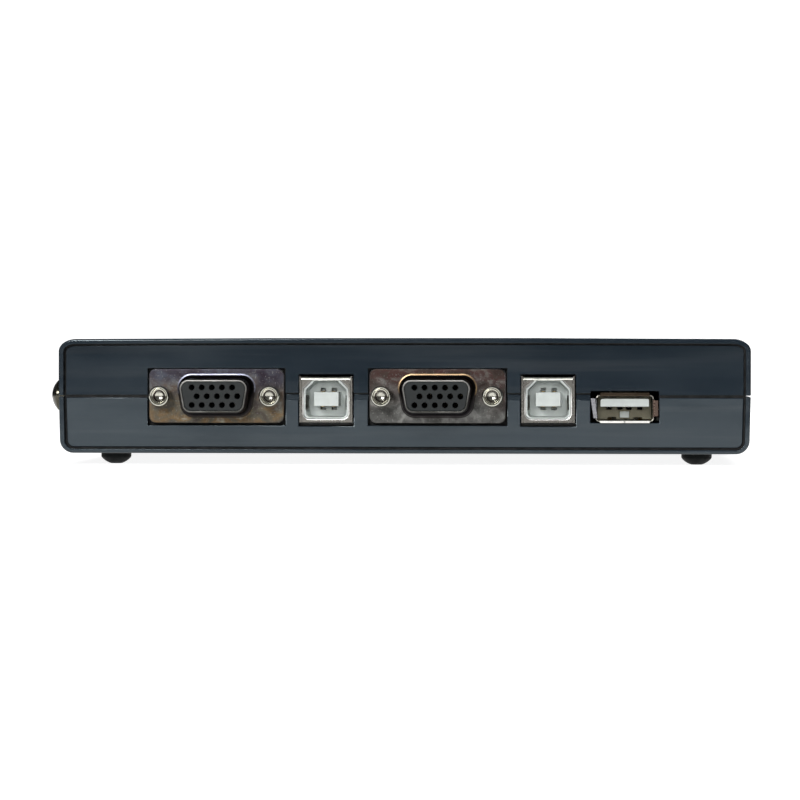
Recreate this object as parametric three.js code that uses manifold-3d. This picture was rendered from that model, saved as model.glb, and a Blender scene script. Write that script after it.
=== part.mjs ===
// A desktop switch that shares one screen, keyboard and mouse between two computers.
//
// Millimetres. +X is to the right for someone facing the two computers' ports, those ports look along -Y,
// and +Z is up. The origin is under the middle of the whole object, level with the tips of its feet.
// A height called a level is measured from the underside of the case.

import * as THREE from "three";
import { mergeVertices } from "three/addons/utils/BufferGeometryUtils.js";
import Module from "manifold-3d";

const wasm = await Module();
wasm.setup();

// ---------------------------------------------------------------- driving dimensions

const CASE_WIDTH = 156.5;
const CASE_DEPTH = 98;
const CASE_HEIGHT = 26.1;
const WALL = 2;
const TOP_CORNER_WIDTH = 4;
const TOP_CORNER_HEIGHT = 2.8;
const LOW_CORNER = 3.1;
const LEAST_CORNER = 0.6;
const TOP_CROWN = 0.2; // rise of the lid's flat middle over its long edges
const CROWN_FLAT = 60;
const LOWER_DRAFT = 0.22; // each side of the tray leans in by this much at the bottom

const PARTING_LEVEL = 13;
const PARTING_GAP = 0.3;
const LIP_THICKNESS = 0.8;
const LIP_HEIGHT = 1.5;
const LIP_CLEARANCE = 0.15;
const BRIDGE_STEP = 0.9; // between two ports the tray's panel stands this much lower

const RIM_WIDTH = 1.1;
const RIM_WIDTH_BELOW = 0.9;
const GROOVE_WIDTH = 0.4;
const GROOVE_DEPTH = 0.6;
const PANEL_RECESS = 1;

const FOOT_RADIUS = 3.45;
const FOOT_DROP = 2.6;
const FOOT_SIDE = 0.9; // height of the straight side, before the dome
const FOOT_TIP_RADIUS = 1.25;
const FOOT_SEAT_DEPTH = 0.6;
const FOOT_X = 66.45;
const FOOT_Y = 40;

const BOARD = { width: 150, depth: 90, thickness: 1.6, top: 6.9 };
const CASE_SCREW_X = 68;
const CASE_SCREW_Y = 20;
const BOARD_SCREW_X = 58;
const BOARD_SCREW_Y = 30;
const CASE_SCREW = { radius: 1.4, head: 2.7, headHeight: 2, seat: 4, length: 15 };
const CASE_BOSS = { radius: 3.1, bottom: 8.4, postRadius: 3.8, postTop: 8.1 };
const BOARD_SCREW = { radius: 1.1, head: 2.4, headHeight: 1.6, length: 5 };
const BOARD_POST_RADIUS = 3;

const BUTTON_RADIUS = 3.5;
const BUTTON_PROUD = 3.2;
const BUTTON_DOME_RADIUS = 4.8;
const BUTTON_TRAVEL = 1.5;
const BUTTON_Y = -39;
const SWITCH = { x0: -68, x1: -60, width: 8, top: 17 };
const PLUNGER = { radius: 1.3, x0: -74.4, x1: -64 };
const COLLAR = { radius: 4.6, thickness: 1 };
const HUB = { radius: 2.5, length: 3.2 };
const SPRING = { radius: 1.95, wire: 0.2, turns: 4 };

// A fitted round piece stands this far clear of its hole, and a resting face this far off its seat.
const FIT_GAP = 0.3;
const SEAT_GAP = 0.1;

const PORT_LEVEL = 13; // centre of the VGA ports and the button
const PORT_PITCH = 50.2; // from one computer's pair of ports to the next
const VGA_OPENING = { width: 31.5, low: 6.3, high: 19.3 };
const USB_B_OPENING = { width: 12.5, low: 6.15, high: 17.95 };
const USB_A_OPENING = { width: 15.4, low: 7, high: 14.2 };

const VGA_FLANGE = { width: 30.84, height: 12.3, thickness: 0.8, corner: 2 };
const VGA_SHELL = { width: 16.33, height: 7.9, length: 5.9, wall: 0.45, corner: 2.4 };
const VGA_LEAN = THREE.MathUtils.degToRad(10);
const VGA_HOLE = { radius: 0.65, pitch: 2.29, rows: 1.98, depth: 4, columns: 5 };
const VGA_BRACKET = { width: 30.4, height: 11.9, depth: 4 };
const VGA_BLOCK = { width: 19, depth: 10 };
const NUT_SPACING = 24.99;
const NUT = { radius: 2.38, proud: 4.9, shank: 1.4, shankLength: 4.5, bore: 1.3, boreDepth: 5.5 };

const USB_B = { width: 12, height: 10.5, depth: 16, wall: 0.4, proud: 0.3 };
const USB_B_MOUTH = {
  width: 8.45,
  height: 7.78,
  chamfer: 1.9,
  corner: 0.6,
  upperCorner: 0.2,
  depth: 9,
};
const USB_B_TONGUE = { width: 5.6, height: 3.18, setBack: 1.2 };
const USB_A = { width: 13.1, height: 6.6, depth: 14, wall: 0.35, proud: 0.4 };
const USB_A_TONGUE = { width: 11.1, height: 1.84, length: 8.9, belowRoof: 0.7 };
const USB_A_REAR = { depth: 4, side: 0.6 };
const USB_A_TAB = { width: 1.2, height: 4, thickness: 0.35, flare: 35 };

const LED_RADIUS = 1.5;
const LED_PROUD = 1.2;
const CAPACITOR = { radius: 3.15, height: 7, groove: 0.3, grooveLevel: 1.4, grooveHeight: 0.8 };

// Where the ports stand. Side -1 is the computers' side, +1 the side of the screen and keyboard.
const COMPUTER_SIDE = -1;
const CONSOLE_SIDE = 1;
const FIRST_PORT_X = -42.25;
const USB_B_FROM_VGA = 24.95;
const VGA_PORTS = [
  { name: "pc1_vga", x: FIRST_PORT_X, side: COMPUTER_SIDE },
  { name: "pc2_vga", x: FIRST_PORT_X + PORT_PITCH, side: COMPUTER_SIDE },
  { name: "console_vga", x: -FIRST_PORT_X, side: CONSOLE_SIDE },
];
const USB_B_PORTS = [
  { name: "pc1_usb", x: FIRST_PORT_X + USB_B_FROM_VGA, side: COMPUTER_SIDE },
  { name: "pc2_usb", x: FIRST_PORT_X + PORT_PITCH + USB_B_FROM_VGA, side: COMPUTER_SIDE },
];
const USB_A_PORTS = [
  { name: "shared_usb", x: 50.2, side: COMPUTER_SIDE },
  { name: "keyboard_usb", x: 12, side: CONSOLE_SIDE },
  { name: "mouse_usb", x: -8, side: CONSOLE_SIDE },
];
const LEDS = [
  { name: "pc1_led", x: -40 },
  { name: "pc2_led", x: -50 },
];

// Derived places.
const PANEL_Y = CASE_DEPTH / 2 - PANEL_RECESS;
const INNER_Y = PANEL_Y - WALL;
const INNER_X = CASE_WIDTH / 2 - WALL;
const BUTTON_SEAT_X = -INNER_X + SEAT_GAP * 2;

// ---------------------------------------------------------------- materials

function surface(color, roughness, metalness = 0) {
  return new THREE.MeshStandardMaterial({ color, roughness, metalness, flatShading: true });
}

const BLACK_ABS = surface(0x2d3238, 0.42);
const RUBBER = surface(0x0a0c0e, 0.75);
const NICKEL = surface(0x8f8a82, 0.35, 1);
const BRIGHT_NICKEL = surface(0xc9cbc6, 0.22, 1);
const TIN_SHELL = surface(0xb4bab5, 0.3, 1);
const DARK_INSULATOR = surface(0x2b2d30, 0.6);
const WHITE_INSULATOR = surface(0xdfe4e2, 0.5);
const PLATED_CAP = surface(0x3f4340, 0.25, 0.8);
const BOARD_GREEN = surface(0x1d5a35, 0.5);
const CHIP_BLACK = surface(0x18191b, 0.55);
const SCREW_STEEL = surface(0x9a9c9e, 0.35, 1);
const SPRING_STEEL = surface(0xb8babc, 0.3, 1);
const SWITCH_BLUE = surface(0x2a3350, 0.5);
const LED_LENS = surface(0x57c46a, 0.15);
const CAN_ALUMINIUM = surface(0xb9bcc0, 0.3, 1);

// Chips and the crystal, each a flat body with its long sides' leads or its base standing on the board.
const CHIPS = [
  { name: "controller_chip", at: [-20, -6], size: [10, 10, 1.6], material: CHIP_BLACK },
  { name: "usb_hub_chip", at: [26, -10], size: [9, 9, 1.5], material: CHIP_BLACK },
  { name: "video_switch_chip", at: [6, 14], size: [15, 7, 2], material: CHIP_BLACK },
  { name: "crystal", at: [-38, -6], size: [10.5, 4.4, 3.5], material: CAN_ALUMINIUM },
];
const CAPACITORS = [
  { name: "board_capacitor", at: [50, -16] },
  { name: "port_capacitor", at: [-22, 26] },
];

// ---------------------------------------------------------------- solids

// The closed solid inside a geometry's surface, with its faces pointing out.
function solidOf(geometry) {
  const bare = geometry.clone();
  bare.deleteAttribute("normal");
  bare.deleteAttribute("uv");
  const merged = mergeVertices(bare, 1e-4);
  const corners = merged.index.array;
  const kept = [];
  for (let i = 0; i < corners.length; i += 3) {
    const [a, b, c] = corners.slice(i, i + 3);
    if (a !== b && b !== c && c !== a) kept.push(a, b, c);
  }
  const made = manifoldOf(merged.attributes.position.array, kept);
  if (made.volume() > 0) return made;
  return manifoldOf(merged.attributes.position.array, kept.reverse());
}

function manifoldOf(positions, triangles) {
  const vertProperties = new Float32Array(positions);
  const triVerts = new Uint32Array(triangles);
  return new wasm.Manifold(new wasm.Mesh({ numProp: 3, vertProperties, triVerts }));
}

function geometryOf(solid) {
  const mesh = solid.getMesh();
  const geometry = new THREE.BufferGeometry();
  geometry.setAttribute("position", new THREE.BufferAttribute(mesh.vertProperties, 3));
  geometry.setIndex(new THREE.BufferAttribute(mesh.triVerts, 1));
  return geometry;
}

function addPiece(parent, name, solid, material) {
  const mesh = new THREE.Mesh(geometryOf(solid), material);
  mesh.name = name;
  parent.add(mesh);
}

// A box between two X, two Y and two Z values.
function block([x0, x1], [y0, y1], [z0, z1]) {
  const box = new THREE.BoxGeometry(x1 - x0, y1 - y0, z1 - z0);
  return solidOf(box.translate((x0 + x1) / 2, (y0 + y1) / 2, (z0 + z1) / 2));
}

// A box centred on x, from y0 to y1 and z0 to z1.
function centredBlock(x, width, ys, zs) {
  return block([x - width / 2, x + width / 2], ys, zs);
}

// A shape drawn in X and Z, drawn out along Y from y0 to y1.
function prism(shape, y0, y1, curveSegments = 3) {
  const drawn = new THREE.ExtrudeGeometry(shape, {
    depth: y1 - y0,
    bevelEnabled: false,
    curveSegments,
  });
  return solidOf(drawn.rotateX(Math.PI / 2).translate(0, y1, 0));
}

// A round solid about the Z axis; the profile is a list of [radius, z] from axis to axis.
function turned(profile, sides = 20) {
  const points = profile.map(([radius, z]) => new THREE.Vector2(radius, z));
  return solidOf(new THREE.LatheGeometry(points, sides).rotateX(Math.PI / 2));
}

function turnedAlongY(profile, sides) {
  return turned(profile, sides).rotate([-90, 0, 0]);
}

function turnedAlongX(profile, sides) {
  return turned(profile, sides).rotate([0, 90, 0]);
}

// A plain round rod about the Z axis.
function rod(radius, z0, z1, sides) {
  return turned([[0, z0], [radius, z0], [radius, z1], [0, z1]], sides);
}

function rectangle(width, height, corner) {
  const x = width / 2;
  const z = height / 2;
  return roundedPolygon([[-x, -z], [x, -z], [x, z], [-x, z]], [corner, corner, corner, corner]);
}

// A polygon whose corners are rounded, each starting the given length before its point.
function roundedPolygon(corners, lengths) {
  const points = corners.map(([x, z]) => new THREE.Vector2(x, z));
  const shape = new THREE.Shape();
  points.forEach((corner, i) => {
    const before = points.at(i - 1);
    const after = points[(i + 1) % points.length];
    const start = corner.clone().add(before.clone().sub(corner).setLength(lengths[i]));
    const end = corner.clone().add(after.clone().sub(corner).setLength(lengths[i]));
    if (i === 0) shape.moveTo(start.x, start.y);
    else shape.lineTo(start.x, start.y);
    shape.quadraticCurveTo(corner.x, corner.y, end.x, end.y);
  });
  shape.closePath();
  return shape;
}

// ---------------------------------------------------------------- case

// The case seen from its end, made smaller all round by inset, or below by insetBelow.
function caseOutline(inset, insetBelow = inset) {
  const half = CASE_WIDTH / 2 - inset;
  const lowHalf = half - LOWER_DRAFT;
  const bottom = insetBelow;
  const shoulder = CASE_HEIGHT - TOP_CROWN - inset;
  const lowCorner = Math.max(LOW_CORNER - inset, LEAST_CORNER);
  const topWide = Math.max(TOP_CORNER_WIDTH - inset, LEAST_CORNER);
  const topTall = Math.max(TOP_CORNER_HEIGHT - inset, LEAST_CORNER);
  const quarter = Math.PI / 2;
  const shape = new THREE.Shape();
  shape.moveTo(-lowHalf + lowCorner, bottom);
  shape.absarc(lowHalf - lowCorner, bottom + lowCorner, lowCorner, -quarter, 0);
  shape.lineTo(half, PARTING_LEVEL);
  shape.absellipse(half - topWide, shoulder - topTall, topWide, topTall, 0, quarter);
  shape.lineTo(CROWN_FLAT / 2, shoulder + TOP_CROWN);
  shape.lineTo(-CROWN_FLAT / 2, shoulder + TOP_CROWN);
  shape.absellipse(-half + topWide, shoulder - topTall, topWide, topTall, quarter, 2 * quarter);
  shape.lineTo(-half, PARTING_LEVEL);
  shape.absarc(-lowHalf + lowCorner, bottom + lowCorner, lowCorner, 2 * quarter, 3 * quarter);
  shape.closePath();
  return shape;
}

// Everything that is cut away at one end to leave the rim, the groove inside it and the recessed panel.
function endRecess(side) {
  const end = side * (CASE_DEPTH / 2 + 1);
  const groove = PANEL_Y - GROOVE_DEPTH;
  const grooveInner = RIM_WIDTH + GROOVE_WIDTH;
  const grooveInnerBelow = RIM_WIDTH_BELOW + GROOVE_WIDTH;
  const within = caseOutline(RIM_WIDTH, RIM_WIDTH_BELOW);
  const deep = prism(within, ...inOrder(side * groove, end));
  const panel = prism(caseOutline(grooveInner, grooveInnerBelow), ...inOrder(0, side * PANEL_Y));
  return deep.subtract(panel);
}

function inOrder(a, b) {
  return [Math.min(a, b), Math.max(a, b)];
}

// The hole that a port needs through the panel of its own side.
function portOpening(port, opening) {
  const ys = inOrder(port.side * (INNER_Y - 1), port.side * CASE_DEPTH / 2);
  return centredBlock(port.x, opening.width, ys, [opening.low, opening.high]);
}

function allOpenings() {
  const cuts = [
    ...VGA_PORTS.map((port) => portOpening(port, VGA_OPENING)),
    ...USB_B_PORTS.map((port) => portOpening(port, USB_B_OPENING)),
    ...USB_A_PORTS.map((port) => portOpening(port, USB_A_OPENING)),
    ...LEDS.map((led) => ledHole(led)),
    buttonHole(),
  ];
  return cuts.reduce((all, cut) => all.add(cut));
}

function ledHole(led) {
  const radius = LED_RADIUS + FIT_GAP;
  const hole = rod(radius, INNER_Y - 1, CASE_DEPTH / 2, 16).rotate([-90, 0, 0]);
  return hole.translate([led.x, 0, PORT_LEVEL]);
}

function buttonHole() {
  const radius = BUTTON_RADIUS + FIT_GAP;
  const hole = rod(radius, -CASE_WIDTH / 2 - 1, -INNER_X + 1, 24).rotate([0, 90, 0]);
  return hole.translate([0, BUTTON_Y, PORT_LEVEL]);
}

// The closed hollow box before it is split: rims, grooves, recessed panels and openings.
function wholeCase() {
  const outside = prism(caseOutline(0), -CASE_DEPTH / 2, CASE_DEPTH / 2);
  const hollow = prism(caseOutline(WALL), -INNER_Y, INNER_Y);
  return outside
    .subtract(hollow)
    .subtract(endRecess(COMPUTER_SIDE))
    .subtract(endRecess(CONSOLE_SIDE))
    .subtract(allOpenings());
}

// The step joint's standing ring, or with a clearance the space that the lid leaves for it.
function lipRing(height, clearance) {
  const thickness = LIP_THICKNESS + clearance;
  const bottom = PARTING_LEVEL - PARTING_GAP / 2;
  const levels = [bottom - WALL * (clearance ? 0 : 1), bottom + height];
  const inside = clearance ? FIT_GAP : 0;
  const outer = centredBlock(0, 2 * (INNER_X + thickness), around(INNER_Y + thickness), levels);
  const inner = centredBlock(0, 2 * (INNER_X - inside), around(INNER_Y - inside), [0, CASE_HEIGHT]);
  return outer.subtract(inner);
}

function around(half) {
  return [-half, half];
}

// Four copies of a solid, one in each quarter.
function inFourCorners(x, y, solid) {
  const places = [[-x, -y], [x, -y], [-x, y], [x, y]];
  return places.map(([px, py]) => solid.translate([px, py, 0])).reduce((all, next) => all.add(next));
}

function upperShell() {
  const above = block(around(CASE_WIDTH), around(CASE_DEPTH), [
    PARTING_LEVEL + PARTING_GAP / 2,
    CASE_HEIGHT * 2,
  ]);
  const bossHole = rod(CASE_SCREW.radius + FIT_GAP, 0, CASE_HEIGHT - WALL * 2, 12);
  const boss = rod(CASE_BOSS.radius, CASE_BOSS.bottom, CASE_HEIGHT - WALL / 2, 16).subtract(bossHole);
  return wholeCase()
    .intersect(above)
    .subtract(lipRing(LIP_HEIGHT + FIT_GAP, LIP_CLEARANCE))
    .add(inFourCorners(CASE_SCREW_X, CASE_SCREW_Y, boss));
}

// The low places in the tray's panel edge, on the narrow bridges between neighbouring ports.
function bridgeSteps() {
  const top = PARTING_LEVEL;
  const edges = [...VGA_PORTS, ...USB_B_PORTS, ...USB_A_PORTS]
    .filter((port) => port.side === COMPUTER_SIDE)
    .map((port) => port.x);
  const ys = [-CASE_DEPTH / 2, -INNER_Y - LIP_THICKNESS];
  return block([Math.min(...edges), Math.max(...edges)], ys, [top - BRIDGE_STEP, top]);
}

function lowerShell() {
  const below = block(around(CASE_WIDTH), around(CASE_DEPTH), [
    -CASE_HEIGHT,
    PARTING_LEVEL - PARTING_GAP / 2,
  ]);
  const post = rod(CASE_BOSS.postRadius, WALL / 2, CASE_BOSS.postTop, 16);
  const screwHole = rod(CASE_SCREW.radius + FIT_GAP, -1, CASE_HEIGHT, 12);
  const headHole = rod(CASE_SCREW.head + FIT_GAP, -1, CASE_SCREW.seat, 16);
  const boardPostTop = BOARD.top - BOARD.thickness - SEAT_GAP;
  const boardPost = rod(BOARD_POST_RADIUS, WALL / 2, boardPostTop, 16);
  const pilotHole = rod(BOARD_SCREW.radius + FIT_GAP, WALL / 2 + 0.5, CASE_HEIGHT, 12);
  const footSeat = rod(FOOT_RADIUS + FIT_GAP, -1, FOOT_SEAT_DEPTH, 24);
  return wholeCase()
    .intersect(below)
    .add(lipRing(LIP_HEIGHT, 0).subtract(allOpenings()))
    .subtract(bridgeSteps())
    .add(inFourCorners(CASE_SCREW_X, CASE_SCREW_Y, post))
    .add(inFourCorners(BOARD_SCREW_X, BOARD_SCREW_Y, boardPost))
    .subtract(inFourCorners(CASE_SCREW_X, CASE_SCREW_Y, screwHole.add(headHole)))
    .subtract(inFourCorners(BOARD_SCREW_X, BOARD_SCREW_Y, pilotHole))
    .subtract(inFourCorners(FOOT_X, FOOT_Y, footSeat));
}

// ---------------------------------------------------------------- feet and screws

// A rubber bumper: a straight side, then a dome down to a small flat tip.
function foot() {
  const domeHeight = FOOT_DROP - FOOT_SIDE;
  const steps = 4;
  const profile = [[0, FOOT_SEAT_DEPTH - SEAT_GAP], [FOOT_RADIUS, FOOT_SEAT_DEPTH - SEAT_GAP]];
  for (let i = 0; i <= steps; i += 1) {
    const down = Math.sin((i / steps) * Math.PI / 2);
    const out = FOOT_TIP_RADIUS + (FOOT_RADIUS - FOOT_TIP_RADIUS) * Math.cos((i / steps) * Math.PI / 2);
    profile.push([out, -FOOT_SIDE - domeHeight * down]);
  }
  profile.push([0, -FOOT_DROP]);
  return turned(profile, 20);
}

// A cross-head screw, head at z = 0 and shank upwards for a positive direction, downwards for a negative one.
function screw(size, direction) {
  const slot = { width: 0.6, depth: 0.9, length: size.head * 1.2 };
  const body = turned([
    [0, -size.headHeight],
    [size.head * 0.8, -size.headHeight],
    [size.head, -size.headHeight * 0.5],
    [size.head, 0],
    [size.radius, 0],
    [size.radius, size.length - size.radius],
    [0, size.length],
  ], 16);
  const across = centredBlock(0, slot.length, around(slot.width / 2), [
    -size.headHeight - 1,
    -size.headHeight + slot.depth,
  ]);
  const cut = body.subtract(across).subtract(across.rotate([0, 0, 90]));
  return direction > 0 ? cut : cut.rotate([180, 0, 0]);
}

function addCorners(parent, name, x, y, solid, material) {
  const places = { pc_left: [-x, -y], pc_right: [x, -y], console_left: [-x, y], console_right: [x, y] };
  for (const [place, [px, py]] of Object.entries(places)) {
    addPiece(parent, name + "_" + place, solid.translate([px, py, 0]), material);
  }
}

// ---------------------------------------------------------------- VGA port

// The D of the port, wide side up: its sides lean in towards the bottom.
function dOutline(width, height, corner) {
  const lean = height * Math.tan(VGA_LEAN);
  const x = width / 2;
  const z = height / 2;
  return roundedPolygon(
    [[-x + lean, -z], [x - lean, -z], [x, z], [-x, z]],
    [corner, corner, corner, corner],
  );
}

// The metal front: a flange at y = 0 and a D-shaped tube standing out of it towards -Y.
function vgaShell() {
  const { width, height, length, wall, corner } = VGA_SHELL;
  const plate = rectangle(VGA_FLANGE.width, VGA_FLANGE.height, VGA_FLANGE.corner);
  const flange = prism(plate, 0, VGA_FLANGE.thickness);
  const tube = prism(dOutline(width, height, corner), -length, VGA_FLANGE.thickness / 2);
  const inner = dOutline(width - 2 * wall, height - 2 * wall, corner - wall);
  const passage = prism(inner, -length - 1, VGA_FLANGE.thickness + 1);
  const nutHole = rod(NUT.shank + FIT_GAP, -1, VGA_FLANGE.thickness + 1, 12).rotate([-90, 0, 0]);
  return flange
    .add(tube)
    .subtract(passage)
    .subtract(nutHole.translate([-NUT_SPACING / 2, 0, 0]))
    .subtract(nutHole.translate([NUT_SPACING / 2, 0, 0]));
}

// The plastic body: a D-shaped nose with fifteen contact holes, a bracket behind the flange and a block on
// the board.
function vgaInsulator() {
  const { width, height, length, wall, corner } = VGA_SHELL;
  const fit = 2 * (wall + SEAT_GAP);
  const back = VGA_FLANGE.thickness + SEAT_GAP;
  const nose = prism(dOutline(width - fit, height - fit, corner - wall), -length + SEAT_GAP * 3, back + 1);
  const bracketZ = around(VGA_BRACKET.height / 2);
  const bracket = centredBlock(0, VGA_BRACKET.width, [back, back + VGA_BRACKET.depth], bracketZ);
  const onBoard = BOARD.top + SEAT_GAP - PORT_LEVEL;
  const blockZ = [onBoard, VGA_BRACKET.height / 2];
  const base = centredBlock(0, VGA_BLOCK.width, [back, back + VGA_BLOCK.depth], blockZ);
  const nutHole = rod(NUT.shank + FIT_GAP, back - 1, back + VGA_BRACKET.depth + 1, 12).rotate([-90, 0, 0]);
  const body = nose.add(bracket).add(base)
    .subtract(nutHole.translate([-NUT_SPACING / 2, 0, 0]))
    .subtract(nutHole.translate([NUT_SPACING / 2, 0, 0]));
  return body.subtract(contactHoles(-length));
}

// Three rows of five holes; the middle row stands half a pitch to the right.
function contactHoles(mouth) {
  const { radius, pitch, rows, depth, columns } = VGA_HOLE;
  const hole = rod(radius, -1, depth, 6).rotate([-90, 0, 0]);
  const holes = [];
  for (const row of [-1, 0, 1]) {
    for (let column = 0; column < columns; column += 1) {
      const shift = row === 0 ? pitch / 2 : 0;
      const x = (column - (columns - 1) / 2) * pitch + shift - pitch / 4;
      holes.push(hole.translate([x, mouth, row * rows]));
    }
  }
  return holes.reduce((all, next) => all.add(next));
}

// The round nut that a plug's thumb screw turns into, standing out towards -Y.
function jackNut() {
  const seat = -SEAT_GAP;
  const bore = NUT.bore;
  return turnedAlongY([
    [0, -NUT.proud + NUT.boreDepth],
    [bore, -NUT.proud + NUT.boreDepth],
    [bore, -NUT.proud + 0.8],
    [NUT.radius - 0.7, -NUT.proud],
    [NUT.radius - 0.3, -NUT.proud],
    [NUT.radius, -NUT.proud + 0.3],
    [NUT.radius, seat],
    [NUT.shank, seat],
    [NUT.shank, NUT.shankLength],
    [0, NUT.shankLength],
  ], 16);
}

// A group standing on a port's centre, its -Y facing out of the case on either side.
function portGroup(parent, port, level) {
  const group = new THREE.Group();
  group.position.set(port.x, port.side * PANEL_Y, FOOT_DROP + level);
  group.rotation.z = port.side === COMPUTER_SIDE ? 0 : Math.PI;
  parent.add(group);
  return group;
}

function addVgaPort(parent, port) {
  const group = portGroup(parent, port, PORT_LEVEL);
  addPiece(group, port.name + "_shell", vgaShell(), NICKEL);
  addPiece(group, port.name + "_insulator", vgaInsulator(), DARK_INSULATOR);
  const nut = jackNut();
  addPiece(group, port.name + "_nut_left", nut.translate([-NUT_SPACING / 2, 0, 0]), BRIGHT_NICKEL);
  addPiece(group, port.name + "_nut_right", nut.translate([NUT_SPACING / 2, 0, 0]), BRIGHT_NICKEL);
}

// ---------------------------------------------------------------- square USB port

// The mouth's outline: square with two slanting upper corners.
function usbBMouth() {
  const { width, height, chamfer, corner, upperCorner: small } = USB_B_MOUTH;
  const x = width / 2;
  const z = height / 2;
  return roundedPolygon(
    [[-x, -z], [x, -z], [x, z - chamfer], [x - chamfer, z], [-x + chamfer, z], [-x, z - chamfer]],
    [corner, corner, small, small, small, small],
  );
}

// The folded metal box, open at the back and with the mouth in its front.
function usbBShell() {
  const { width, height, depth, wall, proud } = USB_B;
  const box = centredBlock(0, width, [-proud, depth - proud], around(height / 2));
  const hollow = centredBlock(0, width - 2 * wall, [wall - proud, depth], around(height / 2 - wall));
  return box.subtract(hollow).subtract(prism(usbBMouth(), -proud - 1, wall));
}

// The white body inside it: a block with the plug's space in it and the tongue standing in that space.
function usbBInsulator() {
  const { width, height, depth, wall, proud } = USB_B;
  const fit = 2 * (wall + SEAT_GAP);
  const front = wall + SEAT_GAP - proud;
  const body = centredBlock(0, width - fit, [front, depth - 1], around((height - fit) / 2));
  const space = prism(usbBMouth(), front - 1, front + USB_B_MOUTH.depth);
  const tongueFront = USB_B_TONGUE.setBack - proud;
  const tongueZ = around(USB_B_TONGUE.height / 2);
  const tongue = centredBlock(0, USB_B_TONGUE.width, [tongueFront, depth - 2], tongueZ);
  return body.subtract(space).add(tongue);
}

function addUsbBPort(parent, port) {
  const level = BOARD.top + SEAT_GAP + USB_B.height / 2;
  const group = portGroup(parent, port, level);
  addPiece(group, port.name + "_shell", usbBShell(), TIN_SHELL);
  addPiece(group, port.name + "_insulator", usbBInsulator(), WHITE_INSULATOR);
}

// ---------------------------------------------------------------- flat USB port

// The metal sleeve with a small flared tab on each side of its mouth.
function usbAShell() {
  const { width, height, depth, wall, proud } = USB_A;
  const corner = 0.8;
  const sleeve = prism(rectangle(width, height, corner), -proud, depth - proud);
  const hollow = prism(rectangle(width - 2 * wall, height - 2 * wall, corner - wall), -proud - 1, depth);
  const tab = block([0, USB_A_TAB.width], [-USB_A_TAB.thickness, 0], around(USB_A_TAB.height / 2));
  const right = tab.rotate([0, 0, -USB_A_TAB.flare]).translate([width / 2 - wall, wall - proud, 0]);
  const left = tab.rotate([0, 0, 180 + USB_A_TAB.flare]).translate([-width / 2 + wall, -proud, 0]);
  return sleeve.add(right).add(left).subtract(hollow);
}

// The white body: a block that closes the sleeve's back, and the tongue under its roof.
function usbATongue() {
  const { width, height, depth, wall, proud } = USB_A;
  const fit = 2 * (wall + SEAT_GAP);
  const back = depth - proud;
  const rearFront = back - USB_A_REAR.depth;
  const rearWidth = width - fit - USB_A_REAR.side;
  const rear = centredBlock(0, rearWidth, [rearFront, back - 0.5], around((height - fit) / 2));
  const top = height / 2 - wall - USB_A_TONGUE.belowRoof;
  const tongue = centredBlock(
    0,
    USB_A_TONGUE.width,
    [rearFront - USB_A_TONGUE.length, rearFront + 1],
    [top - USB_A_TONGUE.height, top],
  );
  return rear.add(tongue);
}

function addUsbAPort(parent, port) {
  const level = BOARD.top + SEAT_GAP + USB_A.height / 2;
  const group = portGroup(parent, port, level);
  addPiece(group, port.name + "_shell", usbAShell(), TIN_SHELL);
  addPiece(group, port.name + "_tongue", usbATongue(), WHITE_INSULATOR);
}

// ---------------------------------------------------------------- select button

// The cap: a plated dome, a collar that stops it behind the wall, and a hub with the plunger's socket.
function buttonCap() {
  const face = -CASE_WIDTH / 2 - BUTTON_PROUD;
  const collarEnd = BUTTON_SEAT_X + COLLAR.thickness;
  const hubEnd = collarEnd + HUB.length;
  const spread = Math.asin(BUTTON_RADIUS / BUTTON_DOME_RADIUS);
  const steps = 5;
  const profile = [];
  for (let i = 0; i <= steps; i += 1) {
    const angle = (i / steps) * spread;
    const back = BUTTON_DOME_RADIUS * (1 - Math.cos(angle));
    profile.push([BUTTON_DOME_RADIUS * Math.sin(angle), face + back]);
  }
  profile.push([BUTTON_RADIUS, BUTTON_SEAT_X], [COLLAR.radius, BUTTON_SEAT_X]);
  profile.push([COLLAR.radius, collarEnd], [HUB.radius, collarEnd], [HUB.radius, hubEnd]);
  profile.push([PLUNGER.radius + FIT_GAP, hubEnd], [PLUNGER.radius + FIT_GAP, PLUNGER.x0 - FIT_GAP]);
  profile.push([0, PLUNGER.x0 - FIT_GAP]);
  return turnedAlongX(profile, 20);
}

function plunger() {
  const { radius, x0, x1 } = PLUNGER;
  return turnedAlongX([[0, x0], [radius, x0], [radius, x1 - 0.4], [radius - 0.4, x1], [0, x1]], 16);
}

function switchHousing() {
  const levels = [BOARD.top + SEAT_GAP - PORT_LEVEL, SWITCH.top - PORT_LEVEL];
  const body = block([SWITCH.x0, SWITCH.x1], around(SWITCH.width / 2), levels);
  const reach = PLUNGER.x1 + BUTTON_TRAVEL + FIT_GAP;
  const bore = rod(PLUNGER.radius + FIT_GAP, SWITCH.x0 - 1, reach, 16).rotate([0, 90, 0]);
  return body.subtract(bore);
}

// The path of the spring's wire about the X axis.
class Coil extends THREE.Curve {
  constructor(x0, x1) {
    super();
    this.x0 = x0;
    this.x1 = x1;
  }

  getPoint(t, target = new THREE.Vector3()) {
    const angle = t * SPRING.turns * 2 * Math.PI;
    const x = this.x0 + t * (this.x1 - this.x0);
    return target.set(x, SPRING.radius * Math.cos(angle), SPRING.radius * Math.sin(angle));
  }
}

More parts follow.
